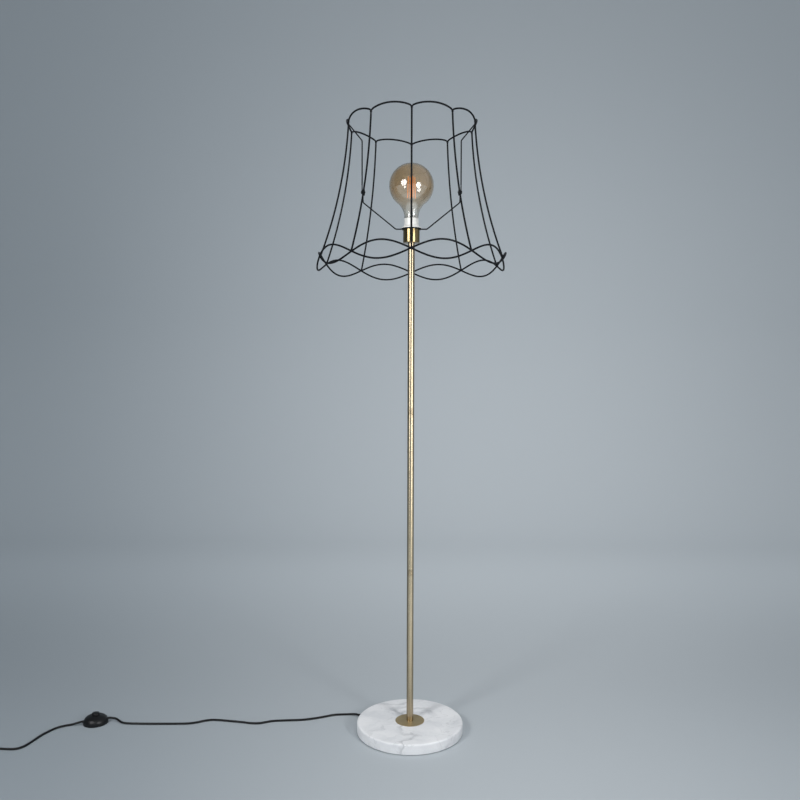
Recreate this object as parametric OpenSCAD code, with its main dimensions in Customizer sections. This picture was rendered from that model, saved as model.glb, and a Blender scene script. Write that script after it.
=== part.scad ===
// Retro floor lamp: a marble foot, a brass pole in three screwed sections, a globe bulb
// over a brass cup, and a scalloped wire shade that tilts on two pivot screws.
// Millimetres, +Z up. The origin is on the floor at the centre of the foot.

/* [Foot] */
// Diameter of the marble disc
base_d = 250; // [210:1:320]
// Thickness of the marble disc
base_t = 23.5; // [22:0.5:40]
// Rounding of the marble's upper edge
base_round = 4; // [0.5:0.5:5]
// Thickness of the felt pad under the marble
pad_t = 1.5; // [1:0.5:3]
// Distance from the marble's rim in to the pad's rim
pad_inset = 6; // [3:1:12]
// Diameter of the brass cover plate in the marble's top
plate_d = 68; // [50:1:90]
// Thickness of the cover plate
plate_t = 1.5; // [1.2:0.1:3]
// Height that the cover plate stands above the marble
plate_proud = 0.6; // [0.2:0.1:1]
// Diameter of the pocket under the marble for the nut and the wires
pocket_d = 60; // [50:1:80]
// Height of that pocket
pocket_h = 15; // [14:0.5:16]
// Diameter of the washer in the pocket
washer_d = 45; // [30:1:48]
// Thickness of the washer
washer_t = 2.5; // [1.5:0.5:3]

/* [Pole] */
// Outer diameter of the pole tubes
tube_d = 16; // [15:0.5:20]
// Wall of the pole tubes
tube_wall = 1; // [0.8:0.1:1.5]
// Height of the lower section, its joint collar included
lower_section = 362; // [200:1:450]
// Height of the middle section, its joint collar included
middle_section = 377; // [200:1:450]
// Height of the upper section, up to the cup
upper_section = 384; // [300:1:450]
// Height of each grooved joint collar
collar_h = 15; // [10:1:25]
// Spacing of the grooves turned into a collar
groove_pitch = 1.5; // [1.2:0.1:3]
// Depth of those grooves
groove_depth = 0.35; // [0.1:0.05:0.6]
// Length of the threaded bush in a tube's end
bush_l = 14; // [10:1:20]
// Length that a collar's spigot reaches down into its tube
spigot_l = 12; // [8:1:20]
// Outer diameter of the hollow threaded studs
stud_d = 10; // [9:0.5:11]
// Bore of the studs, for the wires
stud_bore = 7; // [6:0.5:7.5]

/* [Lampholder] */
// Diameter of the brass cup
cup_d = 38.4; // [38:0.1:46]
// Height of the brass cup
cup_h = 31; // [30:0.5:36]
// Wall and floor of the cup
cup_wall = 1; // [0.8:0.1:1.2]
// Outer diameter of the insulated holder body
holder_d = 30; // [30:0.1:31]
// Height of the holder cap in the cup
holder_cap_h = 13; // [12:0.5:14]
// Diameter of the flange of the white shade ring
ring_flange_d = 46.6; // [44:0.1:52]
// Height of the shade ring's sleeve above its flange
ring_sleeve_h = 21; // [20:0.5:22]
// Diameter of the bulb's screw cap
cap_d = 26.2; // [26:0.1:26.2]

/* [Bulb] */
// Diameter of the glass globe
globe_d = 103.4; // [80:0.1:125]
// Diameter of the glass neck
neck_d = 33; // [32:0.5:36]
// Radius of the fillet between neck and globe
neck_fillet = 42; // [15:1:50]
// Height of the neck's fillet above the shade ring
neck_rise = 1.8; // [1.8:0.1:10]
// Thickness of the glass
glass_t = 0.9; // [0.7:0.1:1.2]
// Length of a filament stick
filament_l = 50; // [36:1:56]
// Diameter of a filament stick
filament_d = 2.2; // [1.5:0.1:3]
// Diameter of the circle on which the filament sticks stand
filament_ring_d = 19; // [16:1:24]

/* [Carrier] */
// Diameter of the carrier wire
carrier_wire = 3; // [2.8:0.1:3.4]
// Thickness of the carrier's clamping ring
clamp_t = 2.4; // [2:0.1:3]
// Distance from the pole's axis to the first bend of each arm
bar_reach = 36; // [30:1:45]
// Distance from the pole's axis to the upright ends of the arms
arm_reach = 111.8; // [100:0.1:118]
// Height of the arm's second bend above the cup
knee_rise = 62; // [50:1:64]
// Height of the pivot screws above the cup
pivot_rise = 85.4; // [82:0.1:95]
// Diameter of the flattened eyes at the pivots
eye_d = 9; // [8:0.5:11]
// Thickness of the flattened straps at the pivots
strap_t = 2.2; // [1.6:0.1:2.4]
// Length of a strap from the pivot to its wire
strap_l = 18; // [14:0.5:19]
// Diameter of the pivot screws
screw_d = 4; // [3:0.5:4.5]
// Diameter of the knurled nuts on the pivot screws
thumb_nut_d = 15; // [11:0.5:16]
// Thickness of those nuts
thumb_nut_t = 4.2; // [3:0.1:5]

/* [Shade] */
// Diameter of the shade's frame wire
frame_wire = 4; // [3.4:0.1:4.4]
// Radius of the top ring
shade_top_r = 149; // [140:1:175]
// Radius of the shade at the crossings of the lower waves
shade_bottom_r = 215; // [190:1:240]
// Height of the top ring's cusps above the pivots
shade_up = 149; // [135:1:170]
// Depth of the wave crossings below the pivots
shade_down = 159; // [140:1:170]
// Radius of the curve of each rib
rib_curve_r = 1020; // [800:10:1400]
// Number of ribs
rib_count = 10; // [10]
// Rise of the top ring between two ribs
lobe_rise = 11; // [6:0.5:16]
// Rise and fall of the lower waves
wave_rise = 19.5; // [12:0.5:24]
// Height of the hanger's bend above the pivots
hanger_rise = 118; // [100:1:122]

/* [Cord and switch] */
// Diameter of the mains cord
cord_d = 5; // [4.6:0.1:5.2]
// Direction in which the cord leaves the foot
cord_angle = 150; // [150]
// Length of the tapered strain relief outside the foot
relief_l = 22; // [20:1:26]
// Length of the foot switch
switch_l = 57; // [55:1:64]
// Width of the foot switch
switch_w = 54; // [50:1:60]
// Height of the foot switch without its button
switch_h = 21; // [20.5:0.5:26]
// Wall of the switch cover
switch_wall = 2; // [1.6:0.1:2.4]
// Diameter of the switch's button
button_d = 18; // [14:0.5:19]
// Height of the button above the switch
button_up = 5; // [4:0.5:6]
// Width of the plug
plug_w = 35; // [34:1:38]
// Thickness of the plug
plug_t = 13.6; // [13:0.1:14]
// Length of the plug's body
plug_l = 34; // [30:1:40]
// Diameter of a plug pin
pin_d = 4; // [4]
// Length of a plug pin
pin_l = 19; // [19]
// Distance between the plug pins
pin_gap = 19; // [19]

/* [Hidden] */

// Facets of round parts, and of the thinnest ones
$fn = 64;
small_fn = 24;

// Clearances: a thread or press seat, a running pivot, a loose fit, a weld seat, a cut's overrun
seat_gap = 0.05;
run_gap = 0.05;
loose_gap = 0.3;
weld_gap = 0.1;
over = 1;

// Heights on the lamp's axis
marble_top = pad_t + base_t;
foot_top = marble_top + plate_proud;
lower_joint_z = foot_top + lower_section;
upper_joint_z = lower_joint_z + middle_section;
pole_top = upper_joint_z + upper_section;
cup_top = pole_top + cup_h;
ring_z = cup_top + clamp_t;
ring_flange_t = 2;
ring_top = ring_z + ring_flange_t + ring_sleeve_h;
pivot_z = cup_top + pivot_rise;
cusp_z = pivot_z + shade_up;
cross_z = pivot_z - shade_down;
globe_z = ring_top + neck_rise
    + sqrt(pow(globe_d / 2 + neck_fillet, 2) - pow(neck_d / 2 + neck_fillet, 2));

// Radii used by several pieces
tube_in = tube_d / 2 - tube_wall;
stud_hole_r = stud_d / 2 + seat_gap;
hex_factor = 2 / sqrt(3);

// Foot
pocket_top = pad_t + pocket_h;
base_nut_t = 4;
base_nut_af = 16;
base_stud_z = pocket_top - washer_t - base_nut_t - 0.5;
marble_hole_d = stud_d + 1;
channel_w = cord_d + 1.4;
cord_exit_z = pad_t + channel_w / 2;

// Lampholder
cup_nut_t = 3;
cup_nut_af = 14;
cup_floor = pole_top + cup_wall;
cap_z = cup_floor + cup_nut_t + loose_gap;
nipple_top = cap_z + 7;
body_z = cap_z + holder_cap_h;
holder_cap_d = holder_d + 4;
holder_wall = 1;
body_floor_t = 2.5;
ring_bore_r = holder_d / 2 + 0.2;
ring_wall = 1.4;
ring_flare_h = 8;
body_top = ring_top - 0.7;
thread_r = cap_d / 2 + loose_gap;
thread_t = 0.4;
thread_z = body_z + body_floor_t + 4;
contact_t = 0.6;

// Bulb
bulb_seat_z = ring_top + 1.3;
cap_wall = 0.6;
cap_top = ring_top + 0.3;
cap_bottom = cap_top - 19.5;
insulator_h = 4;
tip_h = 1.6;
tip_r = 4.6;
tip_z = cap_bottom - insulator_h - tip_h;
glass_foot_r = cap_d / 2 - cap_wall - 0.1;
glass_foot_z = cap_top - 6;
stem_z = glass_foot_z + 0.5;
filament_z = globe_z - 29;
filament_count = 4;
filament_turn = 20;
filament_step = 360 / filament_count;
filament_lean = 1.5;
support_d = 0.8;
stem_top = filament_z - support_d - 2 * weld_gap;

// Carrier, hangers and pivots
clamp_r = ring_flange_d / 2 - 0.4;
bar_z = ring_z - carrier_wire / 2 - weld_gap / 2;
strap_w = 5;
strap_lap = 1;
screw_head_d = screw_d * 1.9;
screw_head_t = 2.2;
knurl_teeth = 30;
knurl_depth = 0.4;
face_gap = 0.1;
knee_r = 6;
wire_sides = 12;

// Shade
ring_steps = [0, 0.04, 0.1, 0.19, 0.3, 0.42, 0.58, 0.7, 0.81, 0.9, 0.96];
wave_periods = rib_count / 2;
first_rib = -90;
wave_rings = 70;
frame_sides = 8;
wave_offset = frame_wire / 2 + weld_gap / 2;
rib_end_lift = frame_wire * 0.8;

// Cord. Its route's points are chosen by hand on the floor.
cord_sides = 8;
coil_sides = 6;
cord_r = cord_d / 2;
switch_pos = [-759, 25.5];
switch_angle = 201;
switch_nose = 2;
switch_lead = 3;
entry_z = 8;
tie_t = 0.6;
tie_w = 6;
coil_turns = 5;
coil_pitch = cord_d + 0.5;
coil_layer = cord_d + 0.6;
coil_mid_r = cord_d * 5.5;
coil_out_r = coil_mid_r + coil_pitch * coil_turns / 4;
coil_z = cord_r + tie_t + loose_gap;
coil_start = [-968, -113];
coil_centre = [coil_start[0], coil_start[1] - coil_out_r];
plug_relief_l = 25;
plug_start = [-998, -113];
plug_z = plug_t / 2 + 0.1;

// Points of the cord between the foot and the switch
route_to_switch = [
    [-142, 80, 3.6], [-153, 81, 2.8], [-167, 80, 2.6], [-183, 78, 2.6], [-199, 72, 2.6],
    [-217, 63, 2.6], [-240, 54, 2.6], [-268, 47, 2.6], [-326, 41, 2.6],
    [-346, 34, 2.6], [-364, 27, 2.6], [-385, 27, 2.6], [-411, 33, 2.6],
    [-472, 43, 2.6], [-495, 39, 2.6], [-514, 29, 2.6], [-535, 22, 2.6], [-575, 20, 2.6],
    [-620, 19, 2.6], [-655, 19.2, 2.6], [-682, 20.4, 2.6], [-695, 24.6, 2.9], [-705.5, 32, 4.3],
    [-716, 37.6, 6.5]
];

// Points of the cord between the switch and the coil
route_to_coil = [
    [-799, 11.4, 6], [-808, 10.8, 3.6], [-816, 8.4, 2.6], [-823, 5, 2.6],
    [-830.4, 0.4, 2.6], [-837.4, -5.6, 2.6], [-843.3, -13.3, 2.6], [-848.6, -23, 2.6],
    [-853.3, -33.4, 2.6], [-857.7, -44.5, 2.6], [-861, -57, 2.6], [-863.8, -71, 2.6],
    [-866.9, -84, 2.6], [-870, -96, 2.6], [-874.6, -105.2, 2.6], [-881.4, -111.8, 2.6],
    [-889.6, -114.8, 2.6], [-899, -115.2, 2.6], [-916, -114, 2.6], [-941, -113, 3]
];

// Helpers: vectors, smooth routes and swept tubes

function unit(v) = v / norm(v);
function at_angle(r, a, z) = [r * cos(a), r * sin(a), z];

// Point on the smooth curve from p1 to p2
function curve_point(p0, p1, p2, p3, t) =
    0.5 * (2 * p1 + (p2 - p0) * t + (2 * p0 - 5 * p1 + 4 * p2 - p3) * t * t
        + (3 * p1 - 3 * p2 + p3 - p0) * t * t * t);

// Smooth route through points, with a number of steps between each two
function smooth(p, steps) = let (n = len(p)) [
    for (i = [0 : n - 2])
        let (
            before = i == 0 ? 2 * p[0] - p[1] : p[i - 1],
            after = i == n - 2 ? 2 * p[n - 1] - p[n - 2] : p[i + 2]
        )
        for (k = [0 : steps - 1])
            curve_point(before, p[i], p[i + 1], after, k / steps),
    p[n - 1]
];

// A bend of radius r at corner b between a and c, in steps
function bend(a, b, c, r, steps = 4) =
    let (
        u = unit(a - b),
        v = unit(c - b),
        half = acos(u * v) / 2,
        middle = unit(u + v),
        centre = b + middle * r / sin(half),
        first = b + u * r / tan(half) - centre,
        last = b + v * r / tan(half) - centre,
        sweep = acos(first * last / (r * r))
    )
    [for (k = [0 : steps]) centre
        + (first * sin(sweep * (1 - k / steps)) + last * sin(sweep * k / steps)) / sin(sweep)];

function tangent(p, i, closed) = let (n = len(p))
    unit(closed ? p[(i + 1) % n] - p[(i + n - 1) % n] : p[min(i + 1, n - 1)] - p[max(i - 1, 0)]);

// Round tube along points; side is a direction that its run never follows
module tube(p, d, sides, closed = false, side = [0, 0, 1]) {
    n = len(p);
    skin = [
        for (i = [0 : n - 1])
            let (
                t = tangent(p, i, closed),
                across = unit(cross(side, t)),
                over_it = cross(t, across)
            )
            for (k = [0 : sides - 1])
                p[i] + d / 2 * (cos(360 * k / sides) * across + sin(360 * k / sides) * over_it)
    ];
    rows = closed ? n : n - 1;
    walls = [
        for (i = [0 : rows - 1], k = [0 : sides - 1])
            let (
                a = i * sides + k,
                b = i * sides + (k + 1) % sides,
                c = ((i + 1) % n) * sides + (k + 1) % sides,
                e = ((i + 1) % n) * sides + k
            )
            each [[a, c, b], [a, e, c]]
    ];
    ends = closed ? [] : [
        [for (k = [0 : sides - 1]) k],
        [for (k = [sides - 1 : -1 : 0]) (n - 1) * sides + k]
    ];
    polyhedron(points = skin, faces = concat(walls, ends), convexity = 6);
}

module disc(r, z0, z1) {
    translate([0, 0, z0])
        cylinder(r = r, h = z1 - z0);
}

module hollow_disc(r, bore, z0, z1) {
    difference() {
        disc(r, z0, z1);
        disc(bore, z0 - over, z1 + over);
    }
}

module hex_nut(af, bore_d, t) {
    difference() {
        cylinder(d = af * hex_factor, h = t, $fn = 6);
        translate([0, 0, -over])
            cylinder(d = bore_d, h = t + 2 * over);
    }
}

// Foot

module cable_channel() {
    rotate([0, 0, cord_angle])
        translate([pocket_d / 2 - over, -channel_w / 2, pad_t - over])
            cube([base_d / 2 - pocket_d / 2 + 2 * over, channel_w, channel_w + over]);
}

module marble_base() {
    arc_steps = 8;
    rim = [
        for (k = [0 : arc_steps])
            let (a = 90 * k / arc_steps)
            [base_d / 2 - base_round + base_round * cos(a), marble_top - base_round + base_round * sin(a)]
    ];
    color("whitesmoke")
    difference() {
        rotate_extrude($fn = 128)
            polygon(concat([[0, pad_t], [base_d / 2, pad_t]], rim, [[0, marble_top]]));
        disc(marble_hole_d / 2, pad_t, marble_top + over);
        disc(plate_d / 2 + loose_gap, marble_top - plate_t + plate_proud, marble_top + over);
        disc(pocket_d / 2, pad_t - over, pocket_top);
        cable_channel();
    }
}

module floor_pad() {
    color("dimgray")
    disc(base_d / 2 - pad_inset, 0, pad_t);
}

module base_plate() {
    color("darkkhaki")
    hollow_disc(plate_d / 2, stud_hole_r + loose_gap, foot_top - plate_t, foot_top);
}

module base_stud() {
    color("silver")
    hollow_disc(stud_d / 2, stud_bore / 2, base_stud_z, foot_top + bush_l - over);
}

module base_washer() {
    color("silver")
    hollow_disc(washer_d / 2, stud_hole_r + loose_gap, pocket_top - washer_t, pocket_top);
}

module base_nut() {
    color("silver")
    translate([0, 0, pocket_top - washer_t - base_nut_t])
        hex_nut(base_nut_af, 2 * stud_hole_r, base_nut_t);
}

// Pole

module pole_tube(z0, z1) {
    color("goldenrod")
    hollow_disc(tube_d / 2, tube_in, z0, z1);
}

// Turned collar: a spigot below, a grooved band as wide as the tube, a stud above
module joint_collar(joint_z) {
    band_z = joint_z - collar_h;
    grooves = floor(collar_h / groove_pitch) - 1;
    groove_half = groove_pitch / 4;
    outline = [
        [stud_bore / 2, band_z - spigot_l],
        [tube_in - seat_gap, band_z - spigot_l],
        [tube_in - seat_gap, band_z],
        [tube_d / 2, band_z],
        for (k = [1 : grooves])
            let (z = band_z + k * groove_pitch)
            each [
                [tube_d / 2, z - groove_half],
                [tube_d / 2 - groove_depth, z],
                [tube_d / 2, z + groove_half]
            ],
        [tube_d / 2, joint_z],
        [stud_d / 2, joint_z],
        [stud_d / 2, joint_z + bush_l - over],
        [stud_bore / 2, joint_z + bush_l - over]
    ];
    color("darkgoldenrod")
    rotate_extrude()
        polygon(outline);
}

module tube_bush(z0) {
    color("peru")
    hollow_disc(tube_in - seat_gap, stud_hole_r, z0, z0 + bush_l);
}

module tube_bushes() {
    tube_bush(foot_top);
    tube_bush(lower_joint_z);
    tube_bush(upper_joint_z);
    tube_bush(pole_top - bush_l);
}

// Two insulated cores from the foot's channel, up the pole and into the holder cap
module pole_wires() {
    core_d = 2.2;
    turn_r = 5;
    turn_z = cord_exit_z + turn_r;
    inner_end = base_d / 2 - 13.5;
    color("white")
    rotate([0, 0, cord_angle])
        for (y = [-core_d * 0.6, core_d * 0.6])
            tube([
                [inner_end, y, cord_exit_z],
                [turn_r, y, cord_exit_z],
                for (k = [1 : 5])
                    let (a = 90 * k / 5)
                    [turn_r - turn_r * sin(a), y, turn_z - turn_r * cos(a)],
                [0, y, lower_joint_z],
                [0, y, upper_joint_z],
                [0, y, nipple_top - over]
            ], core_d, 8, side = [0, 1, 0]);
}

// Lampholder

module cup_nipple() {
    color("silver")
    hollow_disc(stud_d / 2, stud_bore / 2, pole_top - bush_l + over, nipple_top);
}

module holder_cup() {
    lip_round = 0.8;
    color("darkkhaki")
    difference() {
        union() {
            disc(cup_d / 2, pole_top + lip_round, cup_top);
            translate([0, 0, pole_top])
                cylinder(r1 = cup_d / 2 - lip_round, r2 = cup_d / 2, h = lip_round);
        }
        disc(cup_d / 2 - cup_wall, cup_floor, cup_top + over);
        disc(stud_hole_r + loose_gap, pole_top - over, cup_floor + over);
    }
}

module cup_nut() {
    color("silver")
    translate([0, 0, cup_floor])
        hex_nut(cup_nut_af, 2 * stud_hole_r, cup_nut_t);
}

module holder_cap() {
    terminal_d = 8;
    color("white")
    difference() {
        disc(holder_cap_d / 2, cap_z, body_z);
        disc(stud_hole_r, cap_z - over, nipple_top + loose_gap);
        for (side = [-1, 1])
            translate([0, side * holder_cap_d / 3.4, 0])
                disc(terminal_d / 2, nipple_top, body_z + over);
    }
}

module holder_body() {
    color("white")
    difference() {
        disc(holder_d / 2, body_z, body_top);
        disc(holder_d / 2 - holder_wall, body_z + body_floor_t, body_top + over);
    }
}

module holder_thread() {
    lip = 2;
    color("silver")
    difference() {
        disc(thread_r + thread_t, thread_z, body_top - over);
        disc(thread_r, thread_z + thread_t, body_top);
        disc(thread_r - lip, thread_z - over, thread_z + over);
    }
}

// Leaf that lies on the holder's floor and springs up under the bulb's tip
module holder_contact() {
    leaf_w = 6;
    half_l = 8;
    floor_z = body_z + body_floor_t;
    rise = tip_z - loose_gap - contact_t - floor_z;
    color("goldenrod")
    translate([0, 0, floor_z])
        rotate([90, 0, 0])
            linear_extrude(leaf_w, center = true)
                polygon([
                    [-half_l, 0], [half_l, 0], [half_l, contact_t], [-half_l + 2 * contact_t, contact_t],
                    [contact_t / 2, rise], [leaf_w / 2, rise], [leaf_w / 2, rise + contact_t],
                    [-contact_t / 2, rise + contact_t], [-half_l, 1.5 * contact_t]
                ]);
}

module shade_ring() {
    flange_round = 0.5;
    flare_steps = 8;
    flare_r = ring_flange_d / 2 - flange_round;
    flare_w = flare_r - ring_bore_r - ring_wall;
    flare_z = ring_z + ring_flange_t + ring_flare_h;
    color("white")
    rotate_extrude()
        polygon([
            [ring_bore_r, ring_z],
            [ring_flange_d / 2, ring_z],
            [ring_flange_d / 2, ring_z + ring_flange_t - flange_round],
            for (k = [0 : flare_steps])
                let (a = 90 * k / flare_steps)
                [flare_r - flare_w * sin(a), flare_z - ring_flare_h * cos(a)],
            [ring_bore_r + ring_wall, ring_top - flange_round],
            [ring_bore_r + ring_wall - flange_round, ring_top],
            [ring_bore_r, ring_top]
        ]);
}

// Carrier and pivots

module carrier_ring() {
    color("black")
    hollow_disc(clamp_r, ring_bore_r, cup_top, ring_z);
}

// Flattened strap and eye of one wire end. It reaches from the pivot down (dir -1) or up (dir 1),
// and x0 is its inner face.
module eye_strap(x0, dir) {
    difference() {
        union() {
            translate([x0, 0, pivot_z])
                rotate([0, 90, 0])
                    cylinder(d = eye_d, h = strap_t);
            translate([x0, -strap_w / 2, dir < 0 ? pivot_z - strap_l : pivot_z])
                cube([strap_t, strap_w, strap_l]);
        }
        translate([x0 - over, 0, pivot_z])
            rotate([0, 90, 0])
                cylinder(d = screw_d + 2 * run_gap, h = strap_t + 2 * over);
    }
}

// Arm on the +X side: out of the clamping ring, up to the knee and to the pivot
module carrier_arm() {
    corner = [bar_reach, 0, bar_z];
    knee = [arm_reach, 0, cup_top + knee_rise];
    start = [clamp_r + face_gap, 0, bar_z];
    end = [arm_reach, 0, pivot_z - strap_l + strap_lap];
    color("black") {
        tube(concat([start], bend(start, corner, knee, knee_r), bend(corner, knee, end, knee_r), [end]),
            carrier_wire, wire_sides, side = [0, 1, 0]);
        eye_strap(arm_reach - strap_t / 2, -1);
    }
}

module carrier_arm_right() {
    carrier_arm();
}

module carrier_arm_left() {
    rotate([0, 0, 180])
        carrier_arm();
}

hanger_reach = arm_reach + strap_t + 2 * face_gap;
head_x = hanger_reach + strap_t / 2 + face_gap;
nut_x = arm_reach - strap_t / 2 - face_gap - thumb_nut_t;

module pivot_screw() {
    dome_r = screw_head_d;
    color("dimgray")
    translate([0, 0, pivot_z])
        rotate([0, 90, 0]) {
            translate([0, 0, nut_x - over])
                cylinder(d = screw_d, h = head_x - nut_x + over);
            intersection() {
                translate([0, 0, head_x])
                    cylinder(d = screw_head_d, h = screw_head_t);
                translate([0, 0, head_x + screw_head_t - dome_r])
                    sphere(r = dome_r);
            }
        }
}

module pivot_screws() {
    pivot_screw();
    rotate([0, 0, 180])
        pivot_screw();
}

// Round nut with a knurled rim, tightened by hand
module pivot_nut() {
    color("dimgray")
    translate([nut_x, 0, pivot_z])
        rotate([0, 90, 0])
            difference() {
                linear_extrude(thumb_nut_t)
                    polygon([
                        for (k = [0 : 2 * knurl_teeth - 1])
                            let (
                                r = thumb_nut_d / 2 - (k % 2) * knurl_depth,
                                a = 180 * k / knurl_teeth
                            )
                            [r * cos(a), r * sin(a)]
                    ]);
                translate([0, 0, -over])
                    cylinder(d = screw_d + 2 * seat_gap, h = thumb_nut_t + 2 * over);
            }
}

module pivot_nuts() {
    pivot_nut();
    rotate([0, 0, 180])
        pivot_nut();
}

// Bulb

// Outline of the glass from its foot in the cap to the top of the globe, drawn in by a wall
function glass_outline(wall) =
    let (
        globe_r = globe_d / 2,
        fillet_r = neck_fillet,
        neck_r = neck_d / 2,
        centre_r = neck_r + fillet_r,
        centre_z = ring_top + neck_rise,
        meet = atan2(globe_z - centre_z, centre_r),
        foot_r = glass_foot_r - wall,
        shoulder = 1.2,
        fillet_steps = 12,
        globe_steps = 30
    )
    [
        [foot_r, glass_foot_z],
        [foot_r, cap_top + shoulder / 4 + wall],
        [neck_r - shoulder - wall, cap_top + shoulder / 2 + wall / 2],
        [neck_r - wall, cap_top + shoulder],
        for (k = [0 : fillet_steps])
            let (a = 180 - meet * k / fillet_steps)
            [centre_r + (fillet_r + wall) * cos(a), centre_z + (fillet_r + wall) * sin(a)],
        for (k = [1 : globe_steps - 1])
            let (a = -meet + (90 + meet) * k / globe_steps)
            [(globe_r - wall) * cos(a), globe_z + (globe_r - wall) * sin(a)],
        [0, globe_z + globe_r - wall]
    ];

module bulb_glass() {
    outer = glass_outline(0);
    inner = glass_outline(glass_t);
    color("tan", 0.4)
    rotate_extrude()
        polygon(concat(outer, [for (k = [len(inner) - 1 : -1 : 0]) inner[k]]));
}

module bulb_cap() {
    color("silver")
    difference() {
        disc(cap_d / 2, cap_bottom, cap_top);
        disc(cap_d / 2 - cap_wall, cap_bottom + cap_wall, cap_top + over);
    }
}

module bulb_contact() {
    color("dimgray") {
        translate([0, 0, tip_z + tip_h])
            cylinder(r1 = tip_r + 1.6, r2 = cap_d / 2 - 1, h = insulator_h);
        translate([0, 0, tip_z])
            cylinder(r1 = tip_r - 1, r2 = tip_r, h = tip_h);
    }
}

// Flared glass mount that closes the neck and carries the filament leads
module bulb_stem() {
    flare_r = glass_foot_r - glass_t - 0.2;
    rod_r = 2.4;
    waist_z = stem_z + 17;
    color("lightgray", 0.5)
    rotate_extrude()
        polygon([
            [0, stem_z],
            [flare_r, stem_z],
            [flare_r * 0.72, stem_z + 3],
            [flare_r * 0.5, stem_z + 8],
            [rod_r + 1, waist_z],
            [rod_r, waist_z + 4],
            [rod_r, filament_z - 8],
            [rod_r + 1.2, filament_z - 5],
            [rod_r, stem_top],
            [0, stem_top]
        ]);
}

filament_head_r = filament_ring_d / 2 - filament_lean;

function filament_angle(k) = filament_turn + filament_step * k;
function filament_foot(k) = at_angle(filament_ring_d / 2, filament_angle(k), filament_z);
function filament_head(k) = at_angle(filament_head_r, filament_angle(k), filament_z + filament_l);

module bulb_filaments() {
    color("orange")
    for (k = [0 : filament_count - 1])
        tube([filament_foot(k), filament_head(k)], filament_d, 8, side = [0, 1, 0.01]);
}

// Two crossed wires below the sticks on the stem and a ring of wire above them
module bulb_supports() {
    top = filament_z + filament_l + support_d / 2 + weld_gap;
    low = filament_z - support_d / 2 - weld_gap;
    color("silver") {
        for (k = [0, 1])
            rotate([0, 0, filament_angle(k)])
                translate([0, 0, low])
                    rotate([0, 90, 0])
                        cylinder(d = support_d, h = filament_ring_d + filament_d, center = true,
                            $fn = small_fn);
        translate([0, 0, top])
            rotate_extrude()
                translate([filament_head_r, 0])
                    circle(d = support_d, $fn = small_fn);
    }
}

// Shade

// Hanger on the +X side: from its eye up to the knee and out to the top ring
module hanger() {
    start = [hanger_reach, 0, pivot_z + strap_l - strap_lap];
    knee = [hanger_reach, 0, pivot_z + hanger_rise];
    aim = [shade_top_r, 0, cusp_z + lobe_rise];
    end = aim + unit(knee - aim) * (frame_wire / 2 + weld_gap);
    color("black") {
        tube(concat([start], bend(start, knee, end, knee_r), [end]),
            carrier_wire, wire_sides, side = [0, 1, 0]);
        eye_strap(hanger_reach - strap_t / 2, 1);
    }
}

module hanger_right() {
    hanger();
}

module hanger_left() {
    rotate([0, 0, 180])
        hanger();
}

// Arch of the top ring between two ribs, 0 at the ribs and 1 between them
function arch(t) = 2 * t * (1 - t) + sqrt(t * (1 - t));

module top_ring() {
    color("black")
    tube([
        for (rib = [0 : rib_count - 1], t = ring_steps)
            at_angle(shade_top_r, first_rib + (rib + t) * 360 / rib_count, cusp_z + lobe_rise * arch(t))
    ], frame_wire, frame_sides, closed = true);
}

// One wave of the lower rim; phase 0 and 180 give the two that cross at every rib
module wave(r, phase) {
    color("black")
    tube([
        for (k = [0 : wave_rings - 1])
            let (a = 360 * k / wave_rings)
            at_angle(r, first_rib + a, cross_z + wave_rise * sin(a * wave_periods + phase))
    ], frame_wire, frame_sides, closed = true);
}

module wave_inner() {
    wave(shade_bottom_r - wave_offset, 180);
}

module wave_outer() {
    wave(shade_bottom_r + wave_offset, 0);
}

// Ribs are arcs of one circle that stands outside the shade
rib_chord = [shade_bottom_r - shade_top_r, cross_z - cusp_z];
rib_normal = [-rib_chord[1], rib_chord[0]] / norm(rib_chord);
rib_middle = [shade_top_r + shade_bottom_r, cusp_z + cross_z] / 2;
rib_centre = rib_middle + rib_normal * sqrt(pow(rib_curve_r, 2) - pow(norm(rib_chord) / 2, 2));

function rib_arc_angle(z) = 180 - asin((z - rib_centre[1]) / rib_curve_r);

module rib(index) {
    top = rib_arc_angle(cusp_z - frame_wire / 2 - weld_gap);
    bottom = rib_arc_angle(cross_z + rib_end_lift);
    color("black")
    rotate([0, 0, first_rib + (index - 1) * 360 / rib_count])
        translate([rib_centre[0], 0, rib_centre[1]])
            rotate([90, 0, 0])
                rotate([0, 0, top])
                    rotate_extrude(angle = bottom - top, $fn = 720)
                        translate([rib_curve_r, 0])
                            circle(d = frame_wire, $fn = small_fn);
}

// Cord, foot switch and plug

relief_root_d = cord_d + 3.4;
relief_tip_d = cord_d + 1;
rim_gap = 0.3;

// Anchor in the foot's channel and a tapered sleeve outside it
module cord_relief() {
    anchor_l = 13;
    anchor_w = channel_w - 0.4;
    root = base_d / 2 + rim_gap;
    color("black")
    rotate([0, 0, cord_angle]) {
        translate([root - anchor_l, -anchor_w / 2, cord_exit_z - anchor_w / 2])
            cube([anchor_l, anchor_w, anchor_w]);
        translate([root, 0, cord_exit_z])
            rotate([0, 90, 0])
                cylinder(d1 = relief_root_d, d2 = relief_tip_d, h = relief_l - rim_gap);
    }
}

cord_start = at_angle(base_d / 2 + relief_l, cord_angle, cord_exit_z);
switch_axis = at_angle(1, switch_angle, 0);
switch_centre = [switch_pos[0], switch_pos[1], entry_z];
nose_reach = switch_l / 2 + switch_nose;

module cord_to_switch() {
    end = switch_centre - switch_axis * nose_reach;
    first = [cord_start, cord_start + at_angle(cord_d + over, cord_angle, 0)];
    last = [end - switch_axis * switch_lead, end];
    color("black")
    tube(smooth(concat(first, route_to_switch, last), 2), cord_d, cord_sides);
}

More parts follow.
